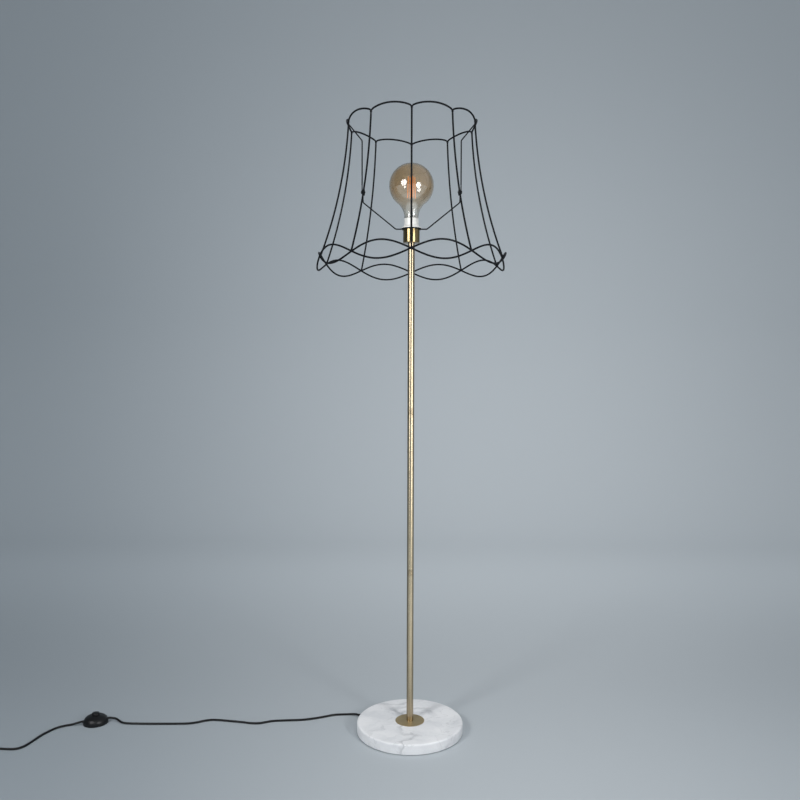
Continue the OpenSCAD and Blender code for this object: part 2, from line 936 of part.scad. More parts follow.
module cord_to_coil() {
    start = switch_centre + switch_axis * nose_reach;
    first = [start, start + switch_axis * switch_lead];
    end = [coil_start[0], coil_start[1], coil_z];
    last = [end + [cord_d + over, 0, 0], end];
    color("black")
    tube(smooth(concat(first, route_to_coil, last), 2), cord_d, cord_sides);
}

// Turns of the coil: two layers that spiral in and out again, with the climb where they reverse
coil_rings = 24;
climb_half = 0.25;

function coil_radius(u) = coil_out_r - coil_pitch * (coil_turns / 2 - abs(u - coil_turns / 2));
function coil_height(u) =
    let (t = min(max((u - coil_turns / 2 + climb_half) / (2 * climb_half), 0), 1))
    coil_z + coil_layer * t * t * (3 - 2 * t);

coil_turn_points = [
    for (k = [0 : coil_rings * coil_turns])
        let (u = k / coil_rings)
        [coil_centre[0], coil_centre[1], 0] + at_angle(coil_radius(u), 90 + 360 * u, coil_height(u))
];

coil_end = coil_turn_points[len(coil_turn_points) - 1];
plug_entry = [plug_start[0], plug_start[1], plug_z];
coil_points = concat(coil_turn_points, [
    coil_end + [-7, 0, 0],
    coil_end * 0.4 + plug_entry * 0.6 + [-2, 0, 0],
    plug_entry + [cord_d + over, 0, 0],
    plug_entry
]);

// Least gap of the coil to itself, measured between points over half a turn apart
coil_least_gap = min([
    for (i = [0 : len(coil_points) - 1])
        for (j = [i + coil_rings / 2 : 1 : len(coil_points) - 1])
            norm(coil_points[i] - coil_points[j])
]) - cord_d;

echo(coil_least_gap = coil_least_gap);

module cord_coil() {
    color("black")
    tube(coil_points, cord_d, coil_sides);
}

// Band round all the turns, on the side away from the lead
module cord_tie() {
    inner_r = coil_radius(coil_turns / 2) - cord_r - loose_gap;
    outer_r = coil_out_r - coil_pitch * 0.5 + cord_r + loose_gap;
    height = coil_layer + cord_d + 2 * loose_gap;
    low = coil_z - cord_r - loose_gap;
    color("dimgray")
    translate([coil_centre[0], coil_centre[1], 0])
        rotate([0, 0, -90])
            difference() {
                translate([inner_r - tie_t, -tie_w / 2, low - tie_t])
                    cube([outer_r - inner_r + 2 * tie_t, tie_w, height + 2 * tie_t]);
                translate([inner_r, -tie_w / 2 - over, low])
                    cube([outer_r - inner_r, tie_w + 2 * over, height]);
            }
}

// Foot switch

switch_base_h = 5;
switch_floor = 3;
switch_foot_gap = 0.4;
seam_gap = 0.15;
cover_screw_r = 1.3;
cover_head_r = 2.6;
cover_head_t = 1.2;

// Oval dome on the floor plane: half length, half width and height
module oval_dome(a, b, h, z0) {
    around = 36;
    rows = 7;
    levels = [for (k = [0 : rows]) let (t = 78 * k / rows) [pow(cos(t), 0.75), sin(t) / sin(78)]];
    skin = [
        for (level = levels, k = [0 : around - 1])
            [a * level[0] * cos(360 * k / around), b * level[0] * sin(360 * k / around),
                z0 + (h - z0) * level[1]]
    ];
    walls = [
        for (i = [0 : rows - 1], k = [0 : around - 1])
            let (
                p = i * around + k,
                q = i * around + (k + 1) % around
            )
            each [[p, q + around, q], [p, p + around, q + around]]
    ];
    bottom = [for (k = [0 : around - 1]) k];
    top = [for (k = [around - 1 : -1 : 0]) rows * around + k];
    polyhedron(points = skin, faces = concat(walls, [bottom, top]), convexity = 4);
}

module at_switch() {
    translate([switch_pos[0], switch_pos[1], 0])
        rotate([0, 0, switch_angle])
            children();
}

module oval_prism(a, b, z0, z1) {
    translate([0, 0, z0])
        linear_extrude(z1 - z0)
            polygon([for (k = [0 : 35]) [a * cos(10 * k), b * sin(10 * k)]]);
}

module at_screws() {
    screw_x = switch_l / 2 - 9;
    for (x = [-screw_x, screw_x])
        translate([x, 0, 0])
            children();
}

module switch_base() {
    color("black")
    at_switch()
        difference() {
            oval_prism(switch_l / 2, switch_w / 2, 0, switch_base_h);
            oval_prism(switch_l / 2 - switch_wall, switch_w / 2 - switch_wall,
                switch_floor, switch_base_h + over);
            at_screws() {
                disc(cover_screw_r + loose_gap, -over, switch_floor + over);
                disc(cover_head_r + loose_gap, -over, switch_foot_gap + cover_head_t);
            }
        }
}

// Domed cover with a bore for the button, a nose for each cord and two screw bosses
module switch_cover() {
    nose_root = 8;
    color("black")
    at_switch()
        difference() {
            union() {
                difference() {
                    union() {
                        oval_dome(switch_l / 2, switch_w / 2, switch_h, switch_base_h + seam_gap);
                        for (turn = [0, 180])
                            rotate([0, 0, turn])
                                translate([switch_l / 2 - nose_root, 0, entry_z])
                                    rotate([0, 90, 0])
                                        cylinder(d1 = cord_d + 0.9, d2 = cord_d + 0.5,
                                            h = nose_root + switch_nose, $fn = small_fn);
                    }
                    oval_dome(switch_l / 2 - switch_wall, switch_w / 2 - switch_wall,
                        switch_h - switch_wall, switch_base_h - over);
                }
                at_screws()
                    disc(cover_screw_r + switch_wall, switch_floor + loose_gap, switch_h * 0.7);
            }
            disc(button_d / 2 + loose_gap, switch_h / 2, switch_h + over);
            at_screws()
                disc(cover_screw_r + seat_gap, 0, switch_h / 2);
        }
}

// Button with a crowned top, a rim that keeps it under the cover, and a plunger
module switch_button() {
    button_top = switch_h + button_up;
    crown = 2.2;
    plunger_r = 4;
    rim_w = 1.4;
    rim_t = 1.2;
    skirt_z = switch_h - switch_wall - 3;
    color("black")
    at_switch()
        rotate_extrude()
            polygon([
                [0, skirt_z - 4],
                [plunger_r, skirt_z - 4],
                [plunger_r, skirt_z],
                [button_d / 2 + rim_w, skirt_z],
                [button_d / 2 + rim_w, skirt_z + rim_t],
                [button_d / 2, skirt_z + rim_t],
                [button_d / 2, button_top - crown],
                for (k = [1 : 6])
                    [button_d / 2 - crown * (1 - cos(15 * k)), button_top - crown * (1 - sin(15 * k))],
                [0, button_top + 0.5]
            ]);
}

module switch_contacts() {
    block = [22, 14, 5];
    color("gray")
    at_switch()
        translate([-block[0] / 2, -block[1] / 2, switch_floor])
            cube(block);
}

// Screws that come up through the base, their heads sunk under it
module switch_screws() {
    color("silver")
    at_switch()
        at_screws() {
            disc(cover_screw_r, switch_foot_gap, switch_h / 2 - over);
            disc(cover_head_r, switch_foot_gap, switch_foot_gap + cover_head_t);
        }
}

// Flat two-pin plug with a tapered relief, lying on the floor
module plug_body() {
    half_w = plug_w / 2;
    shoulder_w = 9;
    nose_round = 3;
    color("black")
    translate([plug_start[0], plug_start[1], plug_z])
        rotate([0, 0, 180]) {
            rotate([0, 90, 0])
                cylinder(d1 = relief_tip_d, d2 = relief_tip_d + 4, h = plug_relief_l);
            translate([plug_relief_l, 0, -plug_t / 2])
                linear_extrude(plug_t)
                    polygon([
                        [0, -shoulder_w], [plug_l * 0.3, -half_w + 4], [plug_l * 0.6, -half_w],
                        [plug_l - nose_round, -half_w], [plug_l, -half_w + nose_round],
                        [plug_l, half_w - nose_round], [plug_l - nose_round, half_w],
                        [plug_l * 0.6, half_w], [plug_l * 0.3, half_w - 4], [0, shoulder_w]
                    ]);
        }
}

module plug_pins() {
    color("silver")
    translate([plug_start[0] - plug_relief_l - plug_l, plug_start[1], plug_z])
        for (side = [-1, 1])
            translate([0, side * pin_gap / 2, 0])
                rotate([0, -90, 0])
                    cylinder(d = pin_d, h = pin_l);
}

marble_base();
floor_pad();
base_plate();
base_stud();
base_washer();
base_nut();
pole_tube(foot_top, lower_joint_z - collar_h);  // lower_tube
joint_collar(lower_joint_z);  // lower_joint_collar
pole_tube(lower_joint_z, upper_joint_z - collar_h);  // middle_tube
joint_collar(upper_joint_z);  // upper_joint_collar
pole_tube(upper_joint_z, pole_top);  // upper_tube
tube_bushes();
pole_wires();
cup_nipple();
holder_cup();
cup_nut();
holder_cap();
holder_body();
holder_thread();
holder_contact();
shade_ring();
carrier_ring();
carrier_arm_left();
carrier_arm_right();
pivot_screws();
pivot_nuts();
bulb_glass();
bulb_cap();
bulb_contact();
bulb_stem();
bulb_filaments();
bulb_supports();
hanger_left();
hanger_right();
top_ring();
wave_inner();
wave_outer();
rib(1);  // rib_1
rib(2);  // rib_2
rib(3);  // rib_3
rib(4);  // rib_4
rib(5);  // rib_5
rib(6);  // rib_6
rib(7);  // rib_7
rib(8);  // rib_8
rib(9);  // rib_9
rib(10);  // rib_10
cord_relief();
cord_to_switch();
switch_base();
switch_cover();
switch_button();
switch_contacts();
switch_screws();
cord_to_coil();
cord_coil();
cord_tie();
plug_body();
plug_pins();
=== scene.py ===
"""Retro floor lamp, dressed: marble foot, brass pole, globe bulb and tilting wire shade.

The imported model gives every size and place. This script covers its pieces with finer
meshes and procedural materials, lays the mains cord, and sets up the studio.
"""
import logging
import math
from dataclasses import dataclass
from enum import Enum
from typing import Callable, Sequence

import bmesh
import bpy
from mathutils import Matrix, Vector


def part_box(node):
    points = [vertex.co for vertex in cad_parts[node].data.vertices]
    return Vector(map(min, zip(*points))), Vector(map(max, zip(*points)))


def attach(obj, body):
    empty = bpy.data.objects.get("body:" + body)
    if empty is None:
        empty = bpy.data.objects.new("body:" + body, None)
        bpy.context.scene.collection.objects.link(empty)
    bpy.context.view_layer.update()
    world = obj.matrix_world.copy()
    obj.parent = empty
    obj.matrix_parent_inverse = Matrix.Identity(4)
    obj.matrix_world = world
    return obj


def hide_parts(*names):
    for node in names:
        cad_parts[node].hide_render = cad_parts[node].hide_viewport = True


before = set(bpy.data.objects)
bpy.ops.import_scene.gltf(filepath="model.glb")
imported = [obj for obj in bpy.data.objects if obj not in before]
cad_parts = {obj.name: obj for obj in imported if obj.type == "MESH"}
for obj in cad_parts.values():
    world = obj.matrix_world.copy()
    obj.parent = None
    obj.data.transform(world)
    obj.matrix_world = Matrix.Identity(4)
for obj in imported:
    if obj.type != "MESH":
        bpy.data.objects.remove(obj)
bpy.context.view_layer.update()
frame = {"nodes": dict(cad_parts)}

MM = 0.001
QUARTER = math.pi / 2
HERE = Matrix()
SPAN = (0.3, 0.7)  # where most of a noise's values lie
STRAIGHT = math.radians(88)  # half angle from which a corner counts as straight
LONGEST_CUT = 0.45  # share of a side that the rounding of its corner may take
Point = Sequence[float]
Socket, Tree, Piece = bpy.types.NodeSocket, bpy.types.NodeTree, bpy.types.Object
log = logging.getLogger("lamp")


class Body(Enum):
    """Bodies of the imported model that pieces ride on."""

    STAND = "stand"
    SHADE = "shade"
    BULB = "bulb"
    BUTTON = "switch_button"


def linear(code: str) -> tuple[float, ...]:
    """Turn an sRGB hex colour into linear values.

    Args:
        code: Colour such as "#a3acb4".

    Returns:
        Linear red, green and blue, and an alpha of 1.
    """
    parts = (int(code[k:k + 2], 16) / 255 for k in (1, 3, 5))
    return (*(c / 12.92 if c <= 0.04045 else ((c + 0.055) / 1.055) ** 2.4 for c in parts), 1.0)


def feed(tree: Tree, node: bpy.types.Node, inputs: dict | Sequence) -> None:
    """Set a node's inputs to values, or link sockets to them.

    Args:
        tree: Tree of the node.
        node: The node.
        inputs: Values and sockets by input name or index, or in order.
    """
    for key, value in inputs.items() if isinstance(inputs, dict) else enumerate(inputs):
        if isinstance(value, Socket):
            tree.links.new(value, node.inputs[key])
        else:
            node.inputs[key].default_value = value


def add(tree: Tree, kind: str, inputs: dict | Sequence = (), out: int | str = 0, **settings: object) -> Socket:
    """Add one node with its settings and links.

    Args:
        tree: Tree that gets the node.
        kind: Node type, where "Math" is short for "ShaderNodeMath".
        inputs: Values and sockets for its inputs.
        out: The output that is wanted.
        **settings: Properties of the node.

    Returns:
        That output.
    """
    node = tree.nodes.new(kind if "Node" in kind else f"ShaderNode{kind}")
    for name, value in settings.items():
        setattr(node, name, value)
    feed(tree, node, inputs)
    return node.outputs[out]


def per(size: float) -> float:
    """Scale of a pattern whose grains are that many millimetres large."""
    return 1 / (size * MM)


@dataclass(frozen=True)
class Finish:
    """A real finish: its material's name, its slot, its colours and how it scatters light."""

    name: str
    slot: str
    colour: str
    tone: str = "#ffffff"
    roughness: float = 0.5
    metallic: float = 0.0
    specular: float = 0.5

    def dress(self, tree: Tree, place: Socket) -> dict[str, object]:
        """Shader inputs that the finish's pattern gives, from Object coordinates in metres."""
        return {}

    def material(self) -> bpy.types.Material:
        """Build the material once and reuse it.

        Returns:
            The finished material.
        """
        made = bpy.data.materials.get(self.name)
        if made is None:
            made = bpy.data.materials.new(self.name)
            made.use_nodes = True
            tree = made.node_tree
            plain = {"Base Color": linear(self.colour), "Roughness": self.roughness, "Metallic": self.metallic}
            if not self.metallic:
                plain["Specular IOR Level"] = self.specular
            place = add(tree, "TexCoord", out="Object")
            feed(tree, tree.nodes["Principled BSDF"], {**plain, **self.dress(tree, place)})
        return made

    def layered(self, tree: Tree, *layers: tuple[Socket, str | Point]) -> Socket:
        """Lay colours over the ground colour, one after the other.

        Args:
            tree: Node tree.
            *layers: Share and colour of each layer.

        Returns:
            The colour.
        """
        paint = linear(self.colour)
        for share, colour in layers:
            colour = linear(colour) if isinstance(colour, str) else colour
            paint = add(tree, "Mix", {0: share, 6: paint, 7: colour}, 2, data_type="RGBA")
        return paint


@dataclass(frozen=True)
class PolishedMarble(Finish):
    """Honed and polished white marble: a milky ground with soft grey veins and few sharp ones."""

    vein: str = "#8b8f95"
    sharp: str = "#74777c"
    crystal: str = "#ffffff"
    scatter: float = 4 * MM

    def dress(self, tree: Tree, place: Socket) -> dict[str, object]:
        """Layer clouds of 62 mm, drifting veins and a fine crystal grain.

        Args:
            tree: Node tree.
            place: Object coordinates.

        Returns:
            Shader inputs.
        """
        # The pattern is moved by 26 mm, which brings a vein over the front edge, and drawn narrower in depth.
        place = add(tree, "Mapping", {"Vector": place, "Location": (0.0256, 0, 0), "Scale": (1.0, 1.35, 1.0)})
        # Lumps of 91 mm push clouds and veins aside by up to 0.11 m, so that none runs straight.
        warp = add(tree, "TexNoise", {"Vector": place, "Scale": 11.0, "Detail": 5.0, "Roughness": 0.6}, "Color")
        warp = add(tree, "VectorMath", (warp, (0.11, 0.11, 0.06)), operation="MULTIPLY")
        warped = add(tree, "VectorMath", (place, warp), operation="ADD")

        def veins(size: float, width: float, share: float, shift: Point) -> Socket:
            """Veins along the lines where a noise crosses its middle value.

            Args:
                size: Usual distance between two veins in millimetres.
                width: Half width of a vein, in values of the noise.
                share: Share of the vein's colour along its middle.
                shift: Shift that sets these veins apart from others, in metres.

            Returns:
                Share of the vein's colour.
            """
            spot = add(tree, "VectorMath", (warped, shift), operation="ADD")
            value = add(tree, "TexNoise", {"Vector": spot, "Scale": per(size), "Detail": 2.0})
            off = add(tree, "Math", (add(tree, "Math", (value, 0.5), operation="SUBTRACT"),), operation="ABSOLUTE")
            return add(tree, "MapRange", (off, 0.0, width, share, 0.0))

        # Crystals of about 0.5 mm are too fine to show; they are drawn at 1.6 mm.
        clouds, mask, crystals, polish = (
            add(tree, "TexNoise", {"Vector": spot, "Scale": per(size), "Detail": detail}) for spot, size, detail in (
                (warped, 62, 5.0), (place, 85, 1.0), (place, 1.6, 3.0), (place, 14, 3.0)))
        clouds = add(tree, "MapRange", (clouds, 0.40, 0.72, 0.0, 0.75))
        # The broad veins fade in and out over 85 mm, the thin ones run on.
        kept = add(tree, "MapRange", (mask, 0.42, 0.62, 0.0, 1.0))
        broad = add(tree, "Math", (veins(105, 0.050, 0.45, (0.31, 0.12, 0.0)), kept), operation="MULTIPLY")
        thin = veins(70, 0.012, 0.22, (0.05, 0.42, 0.1))
        crystals = add(tree, "MapRange", (crystals, *SPAN, 0.0, 0.10))
        paint = self.layered(tree, (clouds, self.tone), (broad, self.vein), (thin, self.sharp),
                             (crystals, self.crystal))
        gloss = add(tree, "MapRange", (polish, *SPAN, self.roughness - 0.06, self.roughness + 0.08))
        return {"Base Color": paint, "Roughness": gloss, "Subsurface Weight": 0.12, "Subsurface Scale": 1.0,
                "Subsurface Radius": (self.scatter, self.scatter, self.scatter)}


@dataclass(frozen=True)
class TurnedMetal(Finish):
    """Metal turned on a lathe or drawn: fine rings run round it and catch the light."""

    relief: float = 0.002
    stretch: float = 0.0

    def dress(self, tree: Tree, place: Socket) -> dict[str, object]:
        """Vary tone over 42 mm and gloss along the turning lines, and stretch highlights along the axis.

        Args:
            tree: Node tree.
            place: Object coordinates.

        Returns:
            Shader inputs.
        """
        patches = add(tree, "TexNoise", {"Vector": place, "Scale": per(42), "Detail": 3.0})
        patches = add(tree, "MapRange", (patches, 0.35, 0.7, 0.0, 0.5))
        # Turning lines about 0.1 mm apart are too fine to show; they are drawn at 0.5 mm, stretched round the part.
        rings = add(tree, "Mapping", {"Vector": place, "Scale": (0.02, 0.02, 1.0)})
        turned = add(tree, "TexNoise", {"Vector": rings, "Scale": per(0.5), "Detail": 2.0})
        given = {"Base Color": self.layered(tree, (patches, self.tone)),
                 "Roughness": add(tree, "MapRange", (turned, *SPAN, self.roughness - 0.03, self.roughness + 0.04)),
                 "Normal": add(tree, "Bump", {"Height": turned, "Distance": self.relief * MM, "Strength": 0.35})}
        if self.stretch:
            given.update({"Anisotropic": self.stretch, "Anisotropic Rotation": 0.25,
                          "Tangent": add(tree, "Tangent", direction_type="RADIAL", axis="Z")})
        return given


@dataclass(frozen=True)
class PaintedSteel(Finish):
    """Powder-coated wire: a thin satin black coat with a faint orange peel."""

    def dress(self, tree: Tree, place: Socket) -> dict[str, object]:
        """Peel of 1.2 mm in the relief, tone that drifts over 30 mm and gloss over 9 mm.

        Args:
            tree: Node tree.
            place: Object coordinates.

        Returns:
            Shader inputs.
        """
        peel, tone, gloss = (add(tree, "TexNoise", {"Vector": place, "Scale": per(size), "Detail": detail})
                             for size, detail in ((1.2, 2.0), (30, 3.0), (9, 3.0)))
        tone = add(tree, "MapRange", (tone, *SPAN, 0.0, 0.5))
        return {"Base Color": self.layered(tree, (tone, self.tone)),
                "Roughness": add(tree, "MapRange", (gloss, *SPAN, self.roughness - 0.07, self.roughness + 0.08)),
                "Normal": add(tree, "Bump", {"Height": peel, "Distance": 0.03 * MM, "Strength": 0.4})}


@dataclass(frozen=True)
class MouldedPlastic(Finish):
    """Moulded plastic: even colour, a fine eroded skin and a slow change of gloss."""

    skin: float = 0.6
    relief: float = 0.015

    def dress(self, tree: Tree, place: Socket) -> dict[str, object]:
        """Add the skin's grain, tone that drifts over 18 mm and gloss over 12 mm.

        Args:
            tree: Node tree.
            place: Object coordinates.

        Returns:
            Shader inputs.
        """
        # A mould's eroded grain of about 0.2 mm is too fine to show; it is drawn at least three times as coarse.
        skin, tone, gloss = (add(tree, "TexNoise", {"Vector": place, "Scale": per(size), "Detail": detail})
                             for size, detail in ((self.skin, 2.0), (18, 2.0), (12, 3.0)))
        tone = add(tree, "MapRange", (tone, *SPAN, 0.0, 0.4))
        lifted = (*(min(1, c * 1.25 + 0.004) for c in linear(self.colour)[:3]), 1)
        return {"Base Color": self.layered(tree, (tone, lifted)),
                "Roughness": add(tree, "MapRange", (gloss, *SPAN, self.roughness - 0.04, self.roughness + 0.06)),
                "Normal": add(tree, "Bump", {"Height": skin, "Distance": self.relief * MM, "Strength": 0.5})}


@dataclass(frozen=True)
class BlownGlass(Finish):
    """Soda glass, tinted in the wall: clear and glossy, with the faint waves of blown glass."""

    ior: float = 1.48
    clarity: float = 1.0
    coat: float = 0.0
    coat_ior: float = 2.0
    clear_low: float = 0.0
    clear_high: float = 0.0

    def dress(self, tree: Tree, place: Socket) -> dict[str, object]:
        """Let light through, clear the tint towards the neck, and add waves of 40 mm.

        Args:
            tree: Node tree.
            place: Object coordinates.

        Returns:
            Shader inputs.
        """
        waves = add(tree, "TexNoise", {"Vector": place, "Scale": per(40), "Detail": 0.0})
        given = {"Transmission Weight": self.clarity, "IOR": self.ior,
                 "Coat Weight": self.coat, "Coat IOR": self.coat_ior,
                 "Normal": add(tree, "Bump", {"Height": waves, "Distance": 0.006 * MM, "Strength": 0.05})}
        if self.clear_high:
            height = add(tree, "SeparateXYZ", (place,), "Z")
            share = add(tree, "MapRange", (height, self.clear_low, self.clear_high, 1.0, 0.0))
            given["Base Color"] = self.layered(tree, (share, self.tone))
        return given


@dataclass(frozen=True)
class PhosphorCoat(Finish):
    """Silicone with yellow phosphor over a filament stick: matt and uneven, with a faint glow painted on."""

    # Colour and strength of the painted glow.
    light: str = "#e68c18"
    glow: float = 0.75

    def dress(self, tree: Tree, place: Socket) -> dict[str, object]:
        """Mottle the coat every 1.5 mm and paint a faint glow on it.

        Args:
            tree: Node tree.
            place: Object coordinates.

        Returns:
            Shader inputs.
        """
        mottle = add(tree, "TexNoise", {"Vector": place, "Scale": per(1.5), "Detail": 2.0})
        mottle = add(tree, "MapRange", (mottle, *SPAN, 0.0, 1.0))
        return {"Base Color": self.layered(tree, (mottle, self.tone)),
                "Emission Color": linear(self.light), "Emission Strength": self.glow,
                "Normal": add(tree, "Bump", {"Height": mottle, "Distance": 0.05 * MM, "Strength": 0.6})}


@dataclass(frozen=True)
class Felt(Finish):
    """Pressed felt: matt, with matted fibres."""

    def dress(self, tree: Tree, place: Socket) -> dict[str, object]:
        """Speckle the fibres and give them relief.

        Args:
            tree: Node tree.
            place: Object coordinates.

        Returns:
            Shader inputs.
        """
        # Single fibres are too fine to show; tufts of 1 mm are drawn instead.
        fibres = add(tree, "TexNoise", {"Vector": place, "Scale": per(1), "Detail": 6.0, "Distortion": 1.5})
        speckle = add(tree, "MapRange", (fibres, *SPAN, 0.0, 1.0))
        return {"Base Color": self.layered(tree, (speckle, self.tone)), "Sheen Weight": 0.3,
                "Normal": add(tree, "Bump", {"Height": fibres, "Distance": 0.2 * MM, "Strength": 0.7})}


@dataclass(frozen=True)
class SweptFloor(Finish):
    """Matt painted studio cove, pale blue-grey, with shade painted in towards its sides and up its wall, and a painted
    glow.
    """

    # Strength of the glow painted on the far wall, and of the glow painted on the near floor that only mirrors see.
    glow: float = 0.33
    mirrored: float = 1.7

    def dress(self, tree: Tree, place: Socket) -> dict[str, object]:
        """Paint shade in a fan towards the sides and up the wall, paint a glow on the far wall for the eye and for
        mirrors, and one on the near floor for mirrors only.

        Args:
            tree: Node tree.
            place: Object coordinates.

        Returns:
            Shader inputs.
        """
        x, y, z = add(tree, "SeparateXYZ", (place,)).node.outputs
        # The fan of painted shade spreads from the camera's foot, 1.9 m before the lamp, and stays as wide nearer than
        # 0.6 m before it.
        ahead = add(tree, "Math", (y, -0.6), operation="MAXIMUM")
        fan = add(tree, "Math", (x, add(tree, "Math", (ahead, 1.9), operation="ADD")), operation="DIVIDE")
        # Shares of the lighter paint across the fan and up the wall, which leave painted shade towards the sides and
        # the top; then the far wall's painted glow and the near floor's painted glow for mirrors.
        left, right, high, far, near = (
            add(tree, "MapRange", ramp, interpolation_type="SMOOTHSTEP") for ramp in (
                (fan, -0.54, 0.12, 0.0, 1.0), (fan, 0.14, 0.62, 1.0, 0.6), (z, 0.6, 3.2, 1.0, 0.5),
                (y, 0.15, 1.65, 0.0, self.glow), (y, 0.05, -0.6, 0.0, self.mirrored)))
        share = add(tree, "Math", (left, right), operation="MULTIPLY")
        share = add(tree, "Math", (share, high), operation="MULTIPLY")
        # Camera, glossy and transmission rays see the far wall's painted glow, only glossy rays see the near floor's,
        # and neither lights anything.
        rays = add(tree, "LightPath").node.outputs
        eye = add(tree, "Math", (rays["Is Camera Ray"], rays["Is Glossy Ray"]), operation="ADD")
        eye = add(tree, "Math", (eye, rays["Is Transmission Ray"]), operation="ADD", use_clamp=True)
        near = add(tree, "Math", (rays["Is Glossy Ray"], near), operation="MULTIPLY")
        # The painted glow takes the paint's colour, painted shade included.
        paint = self.layered(tree, (share, self.tone))
        return {"Base Color": paint, "Emission Color": paint,
                "Emission Strength": add(tree, "Math", (eye, far, near), operation="MULTIPLY_ADD")}


# Cool white with soft grey veins, honed enough to show no sharp reflection.
MARBLE = PolishedMarble("polished_white_marble", "marble", "#e9eaec", "#cdd0d4", roughness=0.48, specular=0.22)
# Nearly black and quite matt, seen only as a dark joint under the marble.
FELT = Felt("dark_felt", "felt", "#262628", "#4a4a4d", roughness=0.95)
# Olive gold with a broad, dull shine.
PLATE_BRASS = TurnedMetal("satin_antique_brass", "plate_brass", "#b8a57f", "#9c8c68", 0.5, 0.75, relief=0.006)
# Pale aged gold, with long bright streaks down the pole.
POLE_BRASS = TurnedMetal("polished_antique_brass", "pole_brass", "#a99b83", "#9b8c71", 0.2, 1.0, stretch=0.8)
# Darker, deeper gold with crisp streaks between almost black ones.
CUP_BRASS = TurnedMetal("brushed_antique_brass", "turned_brass", "#8f7f5c", "#7f6e48", 0.15, 1.0, stretch=0.7)
# Plain grey hardware, warmer where it is nickel.
ZINC = TurnedMetal("zinc_plated_steel", "zinc_steel", "#b9bcc0", "#9fa3a8", 0.35, 1.0)
NICKEL = TurnedMetal("nickel_plated_cap", "nickel_cap", "#c4c3be", "#aeaca6", 0.25, 1.0)
PIN_METAL = TurnedMetal("nickel_plated_pin", "pin_metal", "#c2c1bc", "#aaa8a2", 0.22, 1.0)
# Blue-black wire that draws a clean dark line, with hardly a highlight.
WIRE_PAINT = PaintedSteel("satin_black_powder_coat", "black_wire", "#07090c", "#0d1115", specular=0.15)
# Warm white with a soft gloss, as on a new lampholder, and the duller insulation of its wires.
WHITE_PLASTIC = MouldedPlastic("white_moulded_holder", "white_plastic", "#f0efea", roughness=0.3)
CORE_PLASTIC = MouldedPlastic("wire_insulation", "white_wire", "#dcdcd6", roughness=0.45)
# Black plastics: the switch shines most, the cord has a soft sheen, the rubber none.
SWITCH_PLASTIC = MouldedPlastic("charcoal_satin_abs", "black_plastic", "#090a0d", roughness=0.38, specular=0.35)
CORD_SHEATH = MouldedPlastic("black_pvc_sheath", "black_cord", "#08090b", roughness=0.45, specular=0.3, skin=0.9)
BLACK_RUBBER = MouldedPlastic("black_soft_moulding", "black_rubber", "#141416", roughness=0.48, relief=0.03)
GREY_PLASTIC = MouldedPlastic("grey_contact_block", "grey_plastic", "#76777a")
CAP_INSULATOR = MouldedPlastic("black_glass_insulator", "cap_insulator", "#101012", roughness=0.2)
# Smoky amber under an oxide coat that mirrors the lamps as white spots; the neck is almost clear.
AMBER_GLASS = BlownGlass("smoky_amber_glass", "amber_glass", "#edd8ba", "#fbf8f1", 0.0, specular=1.0, ior=1.56,
                         coat=0.7, clear_low=1.222, clear_high=1.262)
# Milky clear stem that shows as a pale streak in the neck.
CLEAR_GLASS = BlownGlass("clear_stem_glass", "clear_glass", "#f4f6f6", roughness=0.02, clarity=0.6)
# Orange sticks, the only strong colour of the lamp, with a faint painted glow.
FILAMENT = PhosphorCoat("phosphor_coated_filament", "filament", "#e2983a", "#f0b04c", 0.6)
# Blue-grey seamless studio paint: the darker colour is painted shade towards the sides and the top of the wall, the
# lighter tone is the paint where it is lit. The far wall gets a painted glow, and so does the floor before the lamp,
# for mirrors only.
COVE_PAINT = SweptFloor("matt_studio_cove", "marble", "#8e979e", "#b4bbc0", 0.85)

CAD_FINISHES = {
    "floor_pad": FELT, "base_stud": ZINC, "base_washer": ZINC, "base_nut": ZINC, "tube_bushes": CUP_BRASS,
    "pole_wires": CORE_PLASTIC, "cup_nipple": ZINC, "cup_nut": ZINC, "holder_cap": WHITE_PLASTIC,
    "holder_body": WHITE_PLASTIC, "holder_thread": ZINC, "holder_contact": CUP_BRASS, "carrier_ring": WIRE_PAINT,
    "bulb_contact": CAP_INSULATOR, "switch_base": SWITCH_PLASTIC, "switch_contacts": GREY_PLASTIC,
    "switch_screws": ZINC,
}


def angles(count: int) -> list[float]:
    """Equal steps round a full turn, in radians."""
    return [math.tau * k / count for k in range(count)]


def circle(radius: float, angle: float, height: float) -> Vector:
    """Point at an angle on a level circle about the Z axis."""
    return Vector((radius * math.cos(angle), radius * math.sin(angle), height))


def outward(turn: float, spot: Point) -> Matrix:
    """Frame at a spot that is turned about the Z axis, its own Z pointing away from the axis."""
    return Matrix.Rotation(turn, 4, "Z") @ Matrix.Translation(spot) @ Matrix.Rotation(QUARTER, 4, "Y")


def arc(centre: Point, radius: float, start: float, end: float, steps: int) -> list[tuple[float, float]]:
    """Points of an arc in a plane.

    Args:
        centre: Centre of the arc.
        radius: Radius.
        start: First angle in degrees.
        end: Last angle in degrees.
        steps: Number of chords.

    Returns:
        The arc's points, both ends included.
    """
    sweep = [math.radians(start + (end - start) * k / steps) for k in range(steps + 1)]
    return [(centre[0] + radius * math.cos(a), centre[1] + radius * math.sin(a)) for a in sweep]


